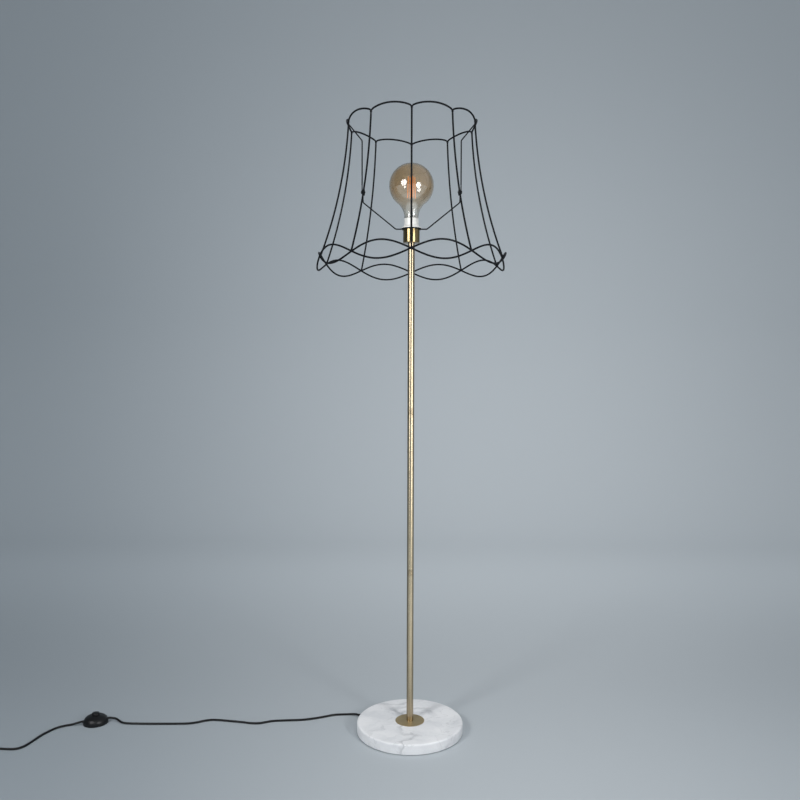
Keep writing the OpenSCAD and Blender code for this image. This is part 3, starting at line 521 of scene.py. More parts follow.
def rounded(points: Sequence[Point], radius: float, steps: int = 4, closed: bool = False) -> list[Vector]:
    """Round the corners of a line in a plane or in space.

    Args:
        points: Corners of the line.
        radius: Largest radius of a corner.
        steps: Chords for each corner.
        closed: Whether the line returns to its start.

    Returns:
        The rounded line's points.
    """
    corners = [Vector(p) for p in points]
    line: list[Vector] = []
    for k, corner in enumerate(corners):
        before, after = corners[k - 1] - corner, corners[(k + 1) % len(corners)] - corner
        half = before.angle(after) / 2
        if (not closed and k in (0, len(corners) - 1)) or half > STRAIGHT:
            line.append(corner)
            continue
        cut = min(radius / math.tan(half), min(before.length, after.length) * LONGEST_CUT)
        first, last = before.normalized() * cut, after.normalized() * cut
        centre = (first + last).normalized() * (cut / math.cos(half))
        arms = first - centre, last - centre
        sweep = arms[0].angle(arms[1])
        for t in (s / steps for s in range(steps + 1)):
            blend = (arms[0] * math.sin(sweep * (1 - t)) + arms[1] * math.sin(sweep * t)) / math.sin(sweep)
            line.append(corner + centre + blend)
    return line


def smooth_route(points: Sequence[Point], steps: int) -> list[Vector]:
    """Smooth line through given points, as the model's cord has it.

    Args:
        points: Points of the route.
        steps: Samples between two points.

    Returns:
        Points along the smooth line.
    """
    p = [Vector(q) for q in points]
    p = [2 * p[0] - p[1], *p, 2 * p[-1] - p[-2]]
    line = [0.5 * (2 * b + (c - a) * t + (2 * a - 5 * b + 4 * c - d) * t * t + (3 * b - 3 * c + d - a) * t ** 3)
            for a, b, c, d in zip(p, p[1:], p[2:], p[3:]) for t in (k / steps for k in range(steps))]
    return [*line, p[-2]]


def linked(name: str, data: bpy.types.ID) -> Piece:
    """Put data into the scene.

    Args:
        name: Name of the object.
        data: Mesh, curve, lamp or camera.

    Returns:
        The new object.
    """
    made = bpy.data.objects.new(name, data)
    bpy.context.scene.collection.objects.link(made)
    return made


class Form:
    """Collects the shells of one piece and turns them into one object at the origin."""

    def __init__(self) -> None:
        """Start with no shell."""
        self.mesh = bmesh.new()

    def rows(self, rings: Sequence[Sequence[Point]], loop: bool = False, tips: Sequence = (None, None)) -> "Form":
        """Skin rings of equal length, one after the other.

        Args:
            rings: Rings of points.
            loop: Whether the last ring joins the first.
            tips: Point that closes each open end in a fan, or None for a flat face.

        Returns:
            The form itself.
        """
        verts, faces = self.mesh.verts, self.mesh.faces
        made = [[verts.new(p) for p in ring] for ring in rings]
        for low, high in zip(made, made[1:] + made[:1] if loop else made[1:]):
            for k in range(len(low)):
                faces.new((low[k - 1], low[k], high[k], high[k - 1]))
        for ring, tip in () if loop else zip((made[0], made[-1]), tips):
            if tip is None:
                faces.new(ring)
                continue
            pole = verts.new(tip)
            for k in range(len(ring)):
                faces.new((ring[k - 1], ring[k], pole))
        return self

    def turned(self, profile: Sequence[Point], segments: int = 96, place: Matrix = HERE) -> "Form":
        """Turn a profile of radius and height about the Z axis.

        Args:
            profile: Closed outline, or one that starts and ends on the axis.
            segments: Steps round the axis.
            place: Where the turned shell goes.

        Returns:
            The form itself.
        """
        solid = max(profile[0][0], profile[-1][0]) < 1e-7
        rings = [[place @ circle(r, a, z) for a in angles(segments)] for r, z in (profile[1:-1] if solid else profile)]
        return self.rows(rings, not solid, [place @ Vector((0, 0, profile[k][1])) for k in (0, -1)])

    def swept(self, points: Sequence[Point], radius: float | Callable[[float], float], sides: int = 16) -> "Form":
        """Sweep a circle along a line, with closed ends.

        Args:
            points: Points of the line.
            radius: Radius, or a function of the share of the line.
            sides: Steps round the wire.

        Returns:
            The form itself.
        """
        line, across, rings = [Vector(p) for p in points], Vector((0, 1, 0)), []
        for k, centre in enumerate(line):
            ahead = (line[min(k + 1, len(line) - 1)] - line[max(k - 1, 0)]).normalized()
            across = (across - ahead * across.dot(ahead)).normalized()
            other = ahead.cross(across)
            r = radius(k / (len(line) - 1)) if callable(radius) else radius
            rings.append([centre + r * (math.cos(a) * across + math.sin(a) * other) for a in angles(sides)])
        return self.rows(rings)

    def block(self, outline: Sequence[Point], low: float, high: float, place: Matrix = HERE) -> "Form":
        """Raise a flat outline into a block.

        Args:
            outline: Corners in the XY plane.
            low: Lower face.
            high: Upper face.
            place: Where the block goes.

        Returns:
            The form itself.
        """
        return self.rows([[place @ Vector((p[0], p[1], z)) for p in outline] for z in (low, high)])

    def spun(self, turn: float) -> "Form":
        """Turn the whole form about the Z axis."""
        bmesh.ops.rotate(self.mesh, verts=self.mesh.verts, cent=(0, 0, 0), matrix=Matrix.Rotation(turn, 3, "Z"))
        return self

    def made(self, name: str, angle: float = 35.0) -> Piece:
        """Turn the form into an object.

        Args:
            name: Name of the piece.
            angle: Edges sharper than this stay sharp, in degrees.

        Returns:
            The new object.
        """
        bmesh.ops.remove_doubles(self.mesh, verts=self.mesh.verts, dist=1e-7)
        bmesh.ops.recalc_face_normals(self.mesh, faces=self.mesh.faces)
        data = bpy.data.meshes.new(name)
        self.mesh.to_mesh(data)
        self.mesh.free()
        data.shade_smooth()
        data.set_sharp_from_angle(angle=math.radians(angle))
        return linked(name, data)


def applied(piece: Piece) -> Piece:
    """Bake a piece's modifiers into its mesh.

    Args:
        piece: Object with modifiers.

    Returns:
        The same object, without modifiers.
    """
    data = bpy.data.meshes.new_from_object(piece.evaluated_get(bpy.context.evaluated_depsgraph_get()))
    piece.modifiers.clear()
    piece.data = data
    return piece


def mounted(piece: Piece, finish: Finish, body: Body, *nodes: str) -> Piece:
    """Dress a piece and fix it to its body.

    Args:
        piece: New object.
        finish: Its finish.
        body: Body that it rides on.
        *nodes: CAD nodes that it stands for.

    Returns:
        The piece.
    """
    piece.data.materials.clear()
    piece.data.materials.append(finish.material())
    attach(piece, body.value)
    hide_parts(*nodes)
    log.info("%s rides on %s", piece.name, body.value)
    return piece


@dataclass
class MainsCord:
    """Black round cord from the foot through the foot switch to a small coil and a plug; its routes in mm."""

    diameter: float = 5.0 * MM
    start: Point = (-0.127306, 0.0735, 0.0047)
    leave: Point = (-0.86603, 0.5, 0)
    to_switch: Sequence[Point] = (
        (-142, 80, 3.6), (-153, 81, 2.8), (-167, 80, 2.6), (-183, 78, 2.6), (-199, 72, 2.6),
        (-217, 63, 2.6), (-240, 54, 2.6), (-268, 47, 2.6), (-326, 41, 2.6),
        (-346, 34, 2.6), (-364, 27, 2.6), (-385, 27, 2.6), (-411, 33, 2.6),
        (-472, 43, 2.6), (-495, 39, 2.6), (-514, 29, 2.6), (-535, 22, 2.6), (-575, 20, 2.6),
        (-620, 19, 2.6), (-655, 19.2, 2.6), (-682, 20.4, 2.6), (-695, 24.6, 2.9), (-705.5, 32, 4.3),
        (-716, 37.6, 6.5))
    to_coil: Sequence[Point] = (
        (-799, 11.4, 6), (-808, 10.8, 3.6), (-816, 8.4, 2.6), (-823, 5, 2.6),
        (-830.4, 0.4, 2.6), (-837.4, -5.6, 2.6), (-843.3, -13.3, 2.6), (-848.6, -23, 2.6),
        (-853.3, -33.4, 2.6), (-857.7, -44.5, 2.6), (-861, -57, 2.6), (-863.8, -71, 2.6),
        (-866.9, -84, 2.6), (-870, -96, 2.6), (-874.6, -105.2, 2.6), (-881.4, -111.8, 2.6),
        (-889.6, -114.8, 2.6), (-899, -115.2, 2.6), (-916, -114, 2.6), (-941, -113, 3))
    coil_start: Point = (-968, -113)
    turns: int = 5
    turn_steps: int = 48
    pitch: float = 5.5
    layer: float = 5.6
    coil_radius: float = 34.375
    coil_height: float = 3.4
    plug_entry: Point = (-998, -113, 6.9)
    samples: int = 8

    def coil(self) -> list[Vector]:
        """Two layers of turns that spiral in and out again, and the tail to the plug.

        Returns:
            Points of the coil in metres.
        """
        centre = Vector((self.coil_start[0], self.coil_start[1] - self.coil_radius, self.coil_height))
        points = []
        for u in (k / self.turn_steps for k in range(self.turn_steps * self.turns + 1)):
            r = self.coil_radius - self.pitch * (self.turns / 2 - abs(u - self.turns / 2))
            # The cord climbs to the upper layer within half a turn, where the spiral is narrowest.
            t = min(max((u - self.turns / 2 + 0.25) / 0.5, 0), 1)
            points.append(centre + circle(r, math.radians(90 + 360 * u), self.layer * t * t * (3 - 2 * t)))
        end, entry = points[-1], Vector(self.plug_entry)
        points += [end + Vector((-7, 0, 0)), end * 0.4 + entry * 0.6 + Vector((-2, 0, 0)),
                   entry + Vector((self.diameter / MM + 1, 0, 0)), entry]
        return [p * MM for p in points]

    def laid(self, name: str, line: Sequence[Vector], *nodes: str) -> Piece:
        """Make one cord as a curve.

        Args:
            name: Name of the piece.
            line: Points of its centreline.
            *nodes: CAD nodes that it stands for.

        Returns:
            The curve object.
        """
        curve = bpy.data.curves.new(name, "CURVE")
        curve.dimensions, curve.use_fill_caps = "3D", True
        curve.bevel_depth, curve.bevel_resolution = self.diameter / 2, 4
        spline = curve.splines.new("POLY")
        spline.points.add(len(line) - 1)
        for point, place in zip(spline.points, line):
            point.co = (*place, 1)
        spline.use_smooth = True
        return mounted(linked(name, curve), CORD_SHEATH, Body.STAND, *nodes)

    def build(self, switch: "FootSwitch") -> list[tuple[Piece, dict]]:
        """Lay both stretches of cord.

        Args:
            switch: The foot switch between them.

        Returns:
            Each cord with its exit, length, diameter, far end, stiffness and lay.
        """
        start, lead, short = Vector(self.start), self.diameter + MM, switch.axis() * 3 * MM
        near, far, coil = switch.cord_end(-1), switch.cord_end(1), self.coil()
        ahead, past = ([Vector(p) * MM for p in route] for route in (self.to_switch, self.to_coil))
        first = smooth_route([start, start + Vector(self.leave) * lead, *ahead, near - short, near], self.samples)
        second = smooth_route([far, far + short, *past, coil[0] + Vector((lead, 0, 0)), coil[0]], self.samples)
        made = []
        for name, line, nodes, end, lay in (
                ("cord_from_foot", first, ("cord_to_switch",), "fitting", "loose"),
                ("cord_to_plug", second + coil[1:], ("cord_to_coil", "cord_coil"), "plug", "coiled")):
            length = sum((b - a).length for a, b in zip(line, line[1:]))
            log.info("%s is %.3f m long", name, length)
            made.append((self.laid(name, line, *nodes), {
                "exit": tuple(line[0]), "length": length, "diameter": self.diameter, "far_end": end,
                "stiffness": "medium", "lay": lay}))
        return made


@dataclass
class CordFittings:
    """Strain relief at the foot, the tie round the coil, and the plug."""

    relief_length: float = 22 * MM
    rim: float = 125.3 * MM
    exit_height: float = 4.7 * MM
    angle: float = 150.0
    tie_thick: float = 0.6 * MM
    plug_start: Point = (-0.998, -0.113, 0.0069)
    plug_relief: float = 25 * MM
    plug_length: float = 34 * MM
    plug_half: float = 17.5 * MM
    plug_thick: float = 13.6 * MM
    pin_shift: float = 9.5 * MM
    pin_length: float = 19 * MM

    def ringed(self, length: float, root: float, tip: float, grooves: int = 5) -> list[tuple[float, float]]:
        """Profile of a tapered relief with cut rings.

        Args:
            length: Length along the cord.
            root: Radius at the housing.
            tip: Radius at the free end.
            grooves: Number of rings.

        Returns:
            Radius and distance pairs, from axis to axis.
        """
        line = [(0.0, 0.0), (root, 0.0)]
        for k in range(1, grooves + 1):
            for shift, cut in ((-0.22, 0.0), (-0.12, 0.55), (0.12, 0.55), (0.22, 0.0)):
                z = length / (grooves + 1) * (k + shift)
                line.append((root + (tip - root) * z / length - cut * MM, z))
        return [*line, (tip, length - 0.6 * MM), (tip - 0.5 * MM, length), (0.0, length)]

    def tie(self) -> Piece:
        """Make the flat band round the coil's cords.

        Returns:
            The band.
        """
        low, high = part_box("cord_tie")
        outside, inside = (rounded([(low.y + g, low.z + g), (high.y - g, low.z + g), (high.y - g, high.z - g),
                                    (low.y + g, high.z - g)], 2.0 * MM, 5, closed=True) for g in (0, self.tie_thick))
        walls = ((outside, low.x), (outside, high.x), (inside, high.x), (inside, low.x))
        band = Form().rows([[(x, *p) for p in line] for line, x in walls], loop=True)
        return mounted(band.made("coil_tie"), BLACK_RUBBER, Body.STAND, "cord_tie")

    def plug(self) -> tuple[Piece, Piece]:
        """Make the plug's bevelled grip with its relief, and its pins.

        Returns:
            Housing and pins.
        """
        back = Matrix.Translation(self.plug_start) @ Matrix.Rotation(math.pi, 4, "Z")
        along = back @ Matrix.Rotation(QUARTER, 4, "Y")
        length, wide, start = self.plug_length, self.plug_half, self.plug_relief
        side = [(0, 9 * MM), (length * 0.3, wide - 4 * MM), (length * 0.6, wide), (length, wide)]
        outline = rounded([(x + start, y) for x, y in side] + [(x + start, -y) for x, y in reversed(side)],
                          3 * MM, 5, closed=True)
        grip = Form().block(outline, -self.plug_thick / 2, self.plug_thick / 2, back).made("plug_body_cover")
        bevel = grip.modifiers.new("edge", "BEVEL")
        bevel.width, bevel.segments, bevel.limit_method = 2.4 * MM, 4, "ANGLE"
        housing = Form().turned(self.ringed(start + MM, 3.0 * MM, 5.0 * MM), 40, along)
        housing.mesh.from_mesh(applied(grip).data)
        bpy.data.objects.remove(grip)
        pins, tip = Form(), start + length
        for shift in (-self.pin_shift, self.pin_shift):
            end = tip + self.pin_length
            pins.turned([(0, tip), (2 * MM, tip), (2 * MM, end - 1.2 * MM), (1.6 * MM, end - 0.3 * MM), (0.8 * MM, end),
                         (0, end)], 32, along @ Matrix.Translation((0, shift, 0)))
        return (mounted(housing.made("plug_housing", 30), BLACK_RUBBER, Body.STAND, "plug_body"),
                mounted(pins.made("plug_contact_pins"), PIN_METAL, Body.STAND, "plug_pins"))

    def build(self) -> tuple[Piece, list[Piece]]:
        """Make the fittings.

        Returns:
            The relief at the foot, and the pieces at the coil's end.
        """
        out, half = outward(math.radians(self.angle), (self.rim, 0, self.exit_height)), 3.0 * MM
        sleeve = Form().turned(self.ringed(self.relief_length - 0.3 * MM, 4.2 * MM, 3.0 * MM), 40, out)
        sleeve.block([(-half, -half), (half, -half), (half, half), (-half, half)], -13 * MM, -0.02 * MM, out)
        relief = mounted(sleeve.made("cord_strain_relief"), BLACK_RUBBER, Body.STAND, "cord_relief")
        return relief, [self.tie(), *self.plug()]


@dataclass
class FootSwitch:
    """Glossy oval foot switch: tray, domed cover with a nose for each cord, round button."""

    centre: Point = (-0.759, 0.0255, 0)
    angle: float = 201.0
    half_length: float = 28.5 * MM
    half_width: float = 27 * MM
    height: float = 21 * MM
    seam: float = 5.15 * MM
    nose: float = 2 * MM
    nose_root: float = 5 * MM
    entry: float = 8 * MM
    bore: float = 9.3 * MM
    wall: float = 2 * MM
    steepest: float = 78.0
    fullness: float = 0.75

    def axis(self) -> Vector:
        """Direction from the foot's end to the coil's end."""
        return circle(1, math.radians(self.angle), 0)

    def cord_end(self, side: int) -> Vector:
        """Point where a cord meets its nose, side -1 towards the foot and 1 towards the coil."""
        return Vector((*self.centre[:2], self.entry)) + self.axis() * side * (self.half_length + self.nose)

    def dome(self, inset: float) -> list[list[Vector]]:
        """Rings of the cover from the button's bore to its rim.

        Args:
            inset: How far the surface lies inside the cover's skin.

        Returns:
            Rings of points.
        """
        a, b, rise = self.half_length - inset, self.half_width - inset, self.height - inset - self.seam
        limit = math.radians(self.steepest)
        rings = []
        # The skin rises in a profile fuller than an ellipse, which the rim cuts off before it stands upright.
        for share in (math.sin(QUARTER * step / 18) for step in range(19)):
            ring = []
            for t in angles(72):
                spot = circle(self.bore, t, 0).lerp(Vector((a * math.cos(t), b * math.sin(t), 0)), share)
                reach = min(math.hypot(spot.x / a, spot.y / b), 1.0)
                turn = min(math.acos(reach ** (1 / self.fullness)), limit)
                ring.append(Vector((spot.x, spot.y, self.seam + rise * math.sin(turn) / math.sin(limit))))
            rings.append(ring)
        return rings

    def build(self) -> list[Piece]:
        """Make the cover and the button.

        Returns:
            Both pieces.
        """
        place = Matrix.Translation(self.centre) @ Matrix.Rotation(math.radians(self.angle), 4, "Z")
        rings = [*reversed(self.dome(0)), *self.dome(self.wall)]
        cover, reach = Form().rows([[place @ p for p in ring] for ring in rings], loop=True), self.nose_root + self.nose
        nose = [(0, 0), (2.95 * MM, 0), (2.95 * MM, reach * 0.55), (2.8 * MM, reach * 0.6), (2.95 * MM, reach * 0.65),
                (2.8 * MM, reach - 0.4 * MM), (2.5 * MM, reach), (0, reach)]
        for turn in (0, math.pi):
            cover.turned(nose, 32, place @ outward(turn, (self.half_length - self.nose_root, 0, self.entry)))
        low, high = (corner.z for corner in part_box("switch_button"))
        r, crown, skirt = 9 * MM, 2.2 * MM, low + 4 * MM
        button = [(0, low), (4 * MM, low), (4 * MM, skirt), (10.4 * MM, skirt), (10.4 * MM, skirt + 1.2 * MM),
                  (r, skirt + 1.2 * MM), *arc((r - crown, high - 0.5 * MM - crown), crown, 0, 78, 8),
                  (4 * MM, high - 0.12 * MM), (0, high)]
        return [mounted(cover.made("switch_dome", 40), SWITCH_PLASTIC, Body.STAND, "switch_cover"),
                mounted(Form().turned(button, 64, place).made("switch_push_button", 40), SWITCH_PLASTIC, Body.BUTTON,
                        "switch_button")]


@dataclass
class Foot:
    """Marble disc with its rounded rim, and the brass plate let into its top."""

    radius: float = 125 * MM
    low: float = 1.5 * MM
    top: float = 25 * MM
    round: float = 4 * MM
    low_round: float = 1.2 * MM
    centre_hole: float = 5.5 * MM
    plate_radius: float = 34 * MM
    plate_low: float = 24.1 * MM
    plate_top: float = 25.6 * MM
    plate_hole: float = 5.35 * MM

    def build(self) -> None:
        """Make the disc and the plate."""
        r, soft, seat, ease = self.radius, self.low_round, self.plate_radius + 0.3 * MM, 0.25 * MM
        body = [(self.centre_hole, self.low), (r - soft, self.low), *arc((r - soft, self.low + soft), soft, -60, 0, 4),
                *arc((r - self.round, self.top - self.round), self.round, 0, 90, 8), (seat + 0.3 * MM, self.top),
                (seat, self.top - 0.3 * MM), (seat, self.plate_low), (self.centre_hole, self.plate_low)]
        mounted(Form().turned(body, 160).made("marble_foot", 30), MARBLE, Body.STAND, "marble_base")
        plate = [(self.plate_hole, self.plate_low), (self.plate_radius, self.plate_low),
                 (self.plate_radius, self.plate_top - ease), (self.plate_radius - ease, self.plate_top),
                 (8.4 * MM, self.plate_top), (self.plate_hole, self.plate_top)]
        mounted(Form().turned(plate, 128).made("foot_plate", 30), PLATE_BRASS, Body.STAND, "base_plate")


@dataclass
class Pole:
    """Three brass tubes and the two turned collars that join them."""

    radius: float = 8 * MM
    bore: float = 7 * MM
    stud: float = 5 * MM
    stud_bore: float = 3.5 * MM
    low_plug: float = 12 * MM
    high_plug: float = 13 * MM
    groove: float = 0.35 * MM
    pitch: float = 1.5 * MM
    ease: float = 0.15 * MM

    def build(self) -> None:
        """Make tubes and collars over their nodes."""
        r, ease, plug = self.radius, self.ease, self.bore - 0.05 * MM
        for node in ("lower_tube", "middle_tube", "upper_tube"):
            low, high = (corner.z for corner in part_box(node))
            wall = [(self.bore, low), (r - ease, low), (r, low + ease), (r, high - ease), (r - ease, high),
                    (self.bore, high)]
            mounted(Form().turned(wall, 64).made(f"brass_{node}", 30), POLE_BRASS, Body.STAND, node)
        for node in ("lower_joint_collar", "upper_joint_collar"):
            low, high = (corner.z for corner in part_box(node))
            # Grooves run round the band between the two plugs that go into the tubes.
            band, top = low + self.low_plug, high - self.high_plug
            grooves = [(r - self.groove * cut, band + (k + shift) * self.pitch)
                       for k in range(1, round((top - band) / self.pitch))
                       for shift, cut in ((-0.3, 0), (-0.12, 0.9), (0.12, 0.9), (0.3, 0))]
            line = [(self.stud_bore, low), (plug, low), (plug, band), (r, band), *grooves, (r, top), (self.stud, top),
                    (self.stud, high), (self.stud_bore, high)]
            mounted(Form().turned(line, 64).made(f"grooved_{node}", 30), POLE_BRASS, Body.STAND, node)


@dataclass
class Lampholder:
    """Brass cup and the white ring that clamps the shade carrier."""

    cup_low: float = 1.1486
    cup_top: float = 1.1796
    cup_radius: float = 19.2 * MM
    cup_hole: float = 5.35 * MM
    cup_wall: float = 1.0 * MM
    ring_low: float = 1.1820
    ring_top: float = 1.2050
    bore: float = 15.2 * MM
    sleeve: float = 16.6 * MM
    flange: float = 23.3 * MM
    flange_thick: float = 2 * MM
    flare: float = 8 * MM

    def build(self) -> None:
        """Make cup and ring."""
        r, low, top, wall, soft = self.cup_radius, self.cup_low, self.cup_top, self.cup_wall, 1.2 * MM
        cup = [(self.cup_hole, low), *arc((r - soft, low + soft), soft, -90, 0, 5), (r, top - 0.3 * MM),
               (r - 0.2 * MM, top), (r - 0.9 * MM, top), (r - wall, top - 0.1 * MM), (r - wall, low + wall),
               (self.cup_hole, low + wall)]
        mounted(Form().turned(cup, 96).made("brass_cup", 30), CUP_BRASS, Body.STAND, "holder_cup")
        z, rim, sleeve, top = self.ring_low, self.flange - 0.5 * MM, self.sleeve, self.ring_top
        ring = [(self.bore, z), (self.flange - 0.3 * MM, z), (self.flange, z + 0.3 * MM),
                (self.flange, z + self.flange_thick - 0.5 * MM)]
        ring += [(rim - (rim - sleeve) * math.sin(a), z + self.flange_thick + self.flare * (1 - math.cos(a)))
                 for a in (QUARTER * k / 12 for k in range(13))]
        # Four fine grooves run round the sleeve.
        for k in range(1, 5):
            step = z + self.flange_thick + self.flare + 2.4 * MM * k
            ring += [(sleeve, step - 0.5 * MM), (sleeve - 0.2 * MM, step - 0.3 * MM), (sleeve - 0.2 * MM, step),
                     (sleeve, step + 0.2 * MM)]
        ring += [(sleeve, top - 0.5 * MM), (sleeve - 0.5 * MM, top), (self.bore, top)]
        mounted(Form().turned(ring, 96).made("white_shade_ring", 30), WHITE_PLASTIC, Body.STAND, "shade_ring")


@dataclass
class Carrier:
    """Bent wire arms with flattened eyes, and the screws on which the shade tilts."""

    wire: float = 1.5 * MM
    reach: float = 111.8 * MM
    start: float = 23 * MM
    bar: float = 36 * MM
    bar_z: float = 1.18045
    knee_z: float = 1.2416
    pivot_z: float = 1.2650
    bend: float = 6 * MM
    eye: float = 4.5 * MM
    eye_hole: float = 2.05 * MM
    strap: float = 18 * MM
    strap_half: float = 2.5 * MM
    thick: float = 2.2 * MM
    nut: float = 7.5 * MM
    nut_thick: float = 3.0 * MM
    teeth: int = 30
    screw: float = 2 * MM
    head: float = 3.8 * MM

    @property
    def hanger_reach(self) -> float:
        """Distance of the hangers' wires from the axis."""
        return self.reach + self.thick + 0.2 * MM

    def strapped(self, line: Sequence[Point], inner: float, up: int, turn: float) -> Form:
        """Wire whose flattened end has a round eye on the pivot.

        Args:
            line: Corners of the wire, before its turn.
            inner: Distance of the strap's inner face from the axis.
            up: 1 if the wire leaves the strap upwards, -1 if downwards.
            turn: Rotation about the axis in radians.

        Returns:
            The wire's form.
        """
        place, outer, hole = outward(0, (inner, 0, self.pivot_z)), [], []
        for a in angles(48):
            x, y, scale = math.cos(a), math.sin(a), self.eye
            # On the wire's side the round eye is drawn out into the strap.
            if x * -up > 0.2:
                scale = max(min(self.strap / abs(x), self.strap_half / max(abs(y), 1e-6)), self.eye)
            outer.append((x * scale, y * scale))
            hole.append((x * self.eye_hole, y * self.eye_hole))
        walls = ((outer, 0), (outer, self.thick), (hole, self.thick), (hole, 0))
        form = Form().swept(rounded(line, self.bend, 8), self.wire)
        form.rows([[place @ Vector((*p, z)) for p in edge] for edge, z in walls], loop=True)
        return form.spun(turn)

    def thumb_nut(self, form: Form, place: Matrix, inner: float) -> None:
        """Round nut with a knurled rim.

        Args:
            form: Form that gets the nut.
            place: Frame of the pivot, its Z along the screw.
            inner: Distance of its inner face from the axis.
        """
        outer, hole, knurl = inner + self.nut_thick, self.screw + 0.06 * MM, 0.5 * MM
        levels = ((4.2 * MM, inner, 0.0), (4.6 * MM, inner + 0.5 * MM, 0.0),
                  (self.nut - 0.7 * MM, inner + 0.5 * MM, 0.0), (self.nut, inner + 1.1 * MM, knurl),
                  (self.nut, outer - 0.4 * MM, knurl), (self.nut - 0.5 * MM, outer, 0.0),
                  (hole, outer, 0.0), (hole, inner, 0.0))
        # Each tooth takes four steps round the rim, and two of them are cut in.
        form.rows([[place @ circle(radius - (cut if k % 4 in (2, 3) else 0.0), a, level)
                    for k, a in enumerate(angles(4 * self.teeth))] for radius, level, cut in levels], loop=True)

    def build(self) -> None:
        """Make both arms, screws and nuts."""
        line = [(self.start, 0, self.bar_z), (self.bar, 0, self.bar_z), (self.reach, 0, self.knee_z),
                (self.reach, 0, self.pivot_z - self.strap + MM)]
        screws, nuts, slots = Form(), Form(), Form()
        head = self.hanger_reach + self.thick / 2 + 0.1 * MM
        inner = self.reach - self.thick / 2 - 0.1 * MM - self.nut_thick
        end = inner - MM
        screw = [(0, end), (self.screw - 0.4 * MM, end), (self.screw, end + 0.4 * MM), (self.screw, head),
                 (self.head, head), (self.head, head + 0.5 * MM), *arc((0, head - 5.6 * MM), 7.2 * MM, 58, 88, 8),
                 (0, head + 1.6 * MM)]
        for turn, side in ((0.0, "right"), (math.pi, "left")):
            arm = self.strapped(line, self.reach - self.thick / 2, -1, turn)
            mounted(arm.made(f"bent_arm_{side}", 40), WIRE_PAINT, Body.STAND, f"carrier_arm_{side}")
            place = outward(turn, (0, 0, self.pivot_z))
            self.thumb_nut(nuts, place, inner)
            screws.turned(screw, 40, place)
            slots.block([(-0.45 * MM, -5 * MM), (0.45 * MM, -5 * MM), (0.45 * MM, 5 * MM), (-0.45 * MM, 5 * MM)],
                        head + 0.6 * MM, head + 2.4 * MM, place)
        pair, cutter = screws.made("pivot_screw_pair", 40), slots.made("slot_cutter")
        cut = pair.modifiers.new("slot", "BOOLEAN")
        cut.operation, cut.object, cut.solver = "DIFFERENCE", cutter, "EXACT"
        applied(pair)
        bpy.data.objects.remove(cutter)
        mounted(pair, WIRE_PAINT, Body.STAND, "pivot_screws")
        mounted(nuts.made("knurled_nut_pair", 25), WIRE_PAINT, Body.STAND, "pivot_nuts")


class WireTree:
    """Geometry Nodes tree with named sizes that makes dressed wire for the shade."""

    def __init__(self, name: str, **sizes: float) -> None:
        """Start the tree.

        Args:
            name: Name of the tree.
            **sizes: Its inputs and their values; each tree has a Wire, the wire's radius.
        """
        self.sizes, self.tree = sizes, bpy.data.node_groups.new(name, "GeometryNodeTree")
        kinds = {"Geometry": "Geometry", **{label: "Int" if isinstance(value, int) else "Float"
                                            for label, value in sizes.items()}, "Finish": "Material"}
        for label, kind in kinds.items():
            self.tree.interface.new_socket(label, in_out="INPUT", socket_type=f"NodeSocket{kind}")
        self.tree.interface.new_socket("Geometry", in_out="OUTPUT", socket_type="NodeSocketGeometry")
        self.start = self.tree.nodes.new("NodeGroupInput").outputs

    def wire(self, curve: Socket, caps: bool = False) -> Socket:
        """Give a curve its round wire, with closed ends if it is open."""
        ring = add(self.tree, "GeometryNodeCurvePrimitiveCircle", {"Resolution": 16, "Radius": self.start["Wire"]})
        return add(self.tree, "GeometryNodeCurveToMesh", {"Curve": curve, "Profile Curve": ring, "Fill Caps": caps})

    def angle(self) -> Socket:
        """Angle of each point about the Z axis."""
        x, y, _ = add(self.tree, "SeparateXYZ", (add(self.tree, "GeometryNodeInputPosition"),)).node.outputs
        return add(self.tree, "Math", (y, x), operation="ARCTAN2")

    def ring(self, points: int, rise: Socket) -> Socket:
        """Wire ring about the axis.

        Args:
            points: Points round the ring.
            rise: How far each point lies above the tree's Height, as a share of its Rise.

        Returns:
            The wire's mesh.
        """
        start = self.start
        loop = add(self.tree, "GeometryNodeCurvePrimitiveCircle", {"Resolution": points, "Radius": start["Radius"]})
        height = add(self.tree, "Math", (rise, start["Rise"], start["Height"]), operation="MULTIPLY_ADD")
        lift = add(self.tree, "CombineXYZ", {"Z": height})
        return self.wire(add(self.tree, "GeometryNodeSetPosition", {"Geometry": loop, "Offset": lift}))

    def finish(self, shape: Socket) -> None:
        """Realize, smooth and dress the tree's result.

        Args:
            shape: The geometry so far.
        """
        real = add(self.tree, "GeometryNodeRealizeInstances", (shape,))
        smooth = add(self.tree, "GeometryNodeSetShadeSmooth", {"Geometry": real})
        feed(self.tree, self.tree.nodes.new("NodeGroupOutput"), (add(
            self.tree, "GeometryNodeSetMaterial", {"Geometry": smooth, "Material": self.start["Finish"]}),))

    def run(self, name: str, *nodes: str, **changed: float) -> None:
        """Run the tree, keep its mesh and mount it on the shade.

        Args:
            name: Name of the piece.
            *nodes: CAD nodes that the piece stands for.
            **changed: Sizes that differ for this piece.
        """
        piece = linked(name, bpy.data.meshes.new(name))
        modifier = piece.modifiers.new("shape", "NODES")
        modifier.node_group = self.tree
        given = {**self.sizes, **changed, "Finish": WIRE_PAINT.material()}
        for item in self.tree.interface.items_tree:
            if item.in_out == "INPUT" and item.name in given:
                modifier[item.identifier] = given[item.name]
        mounted(applied(piece), WIRE_PAINT, Body.SHADE, *nodes)


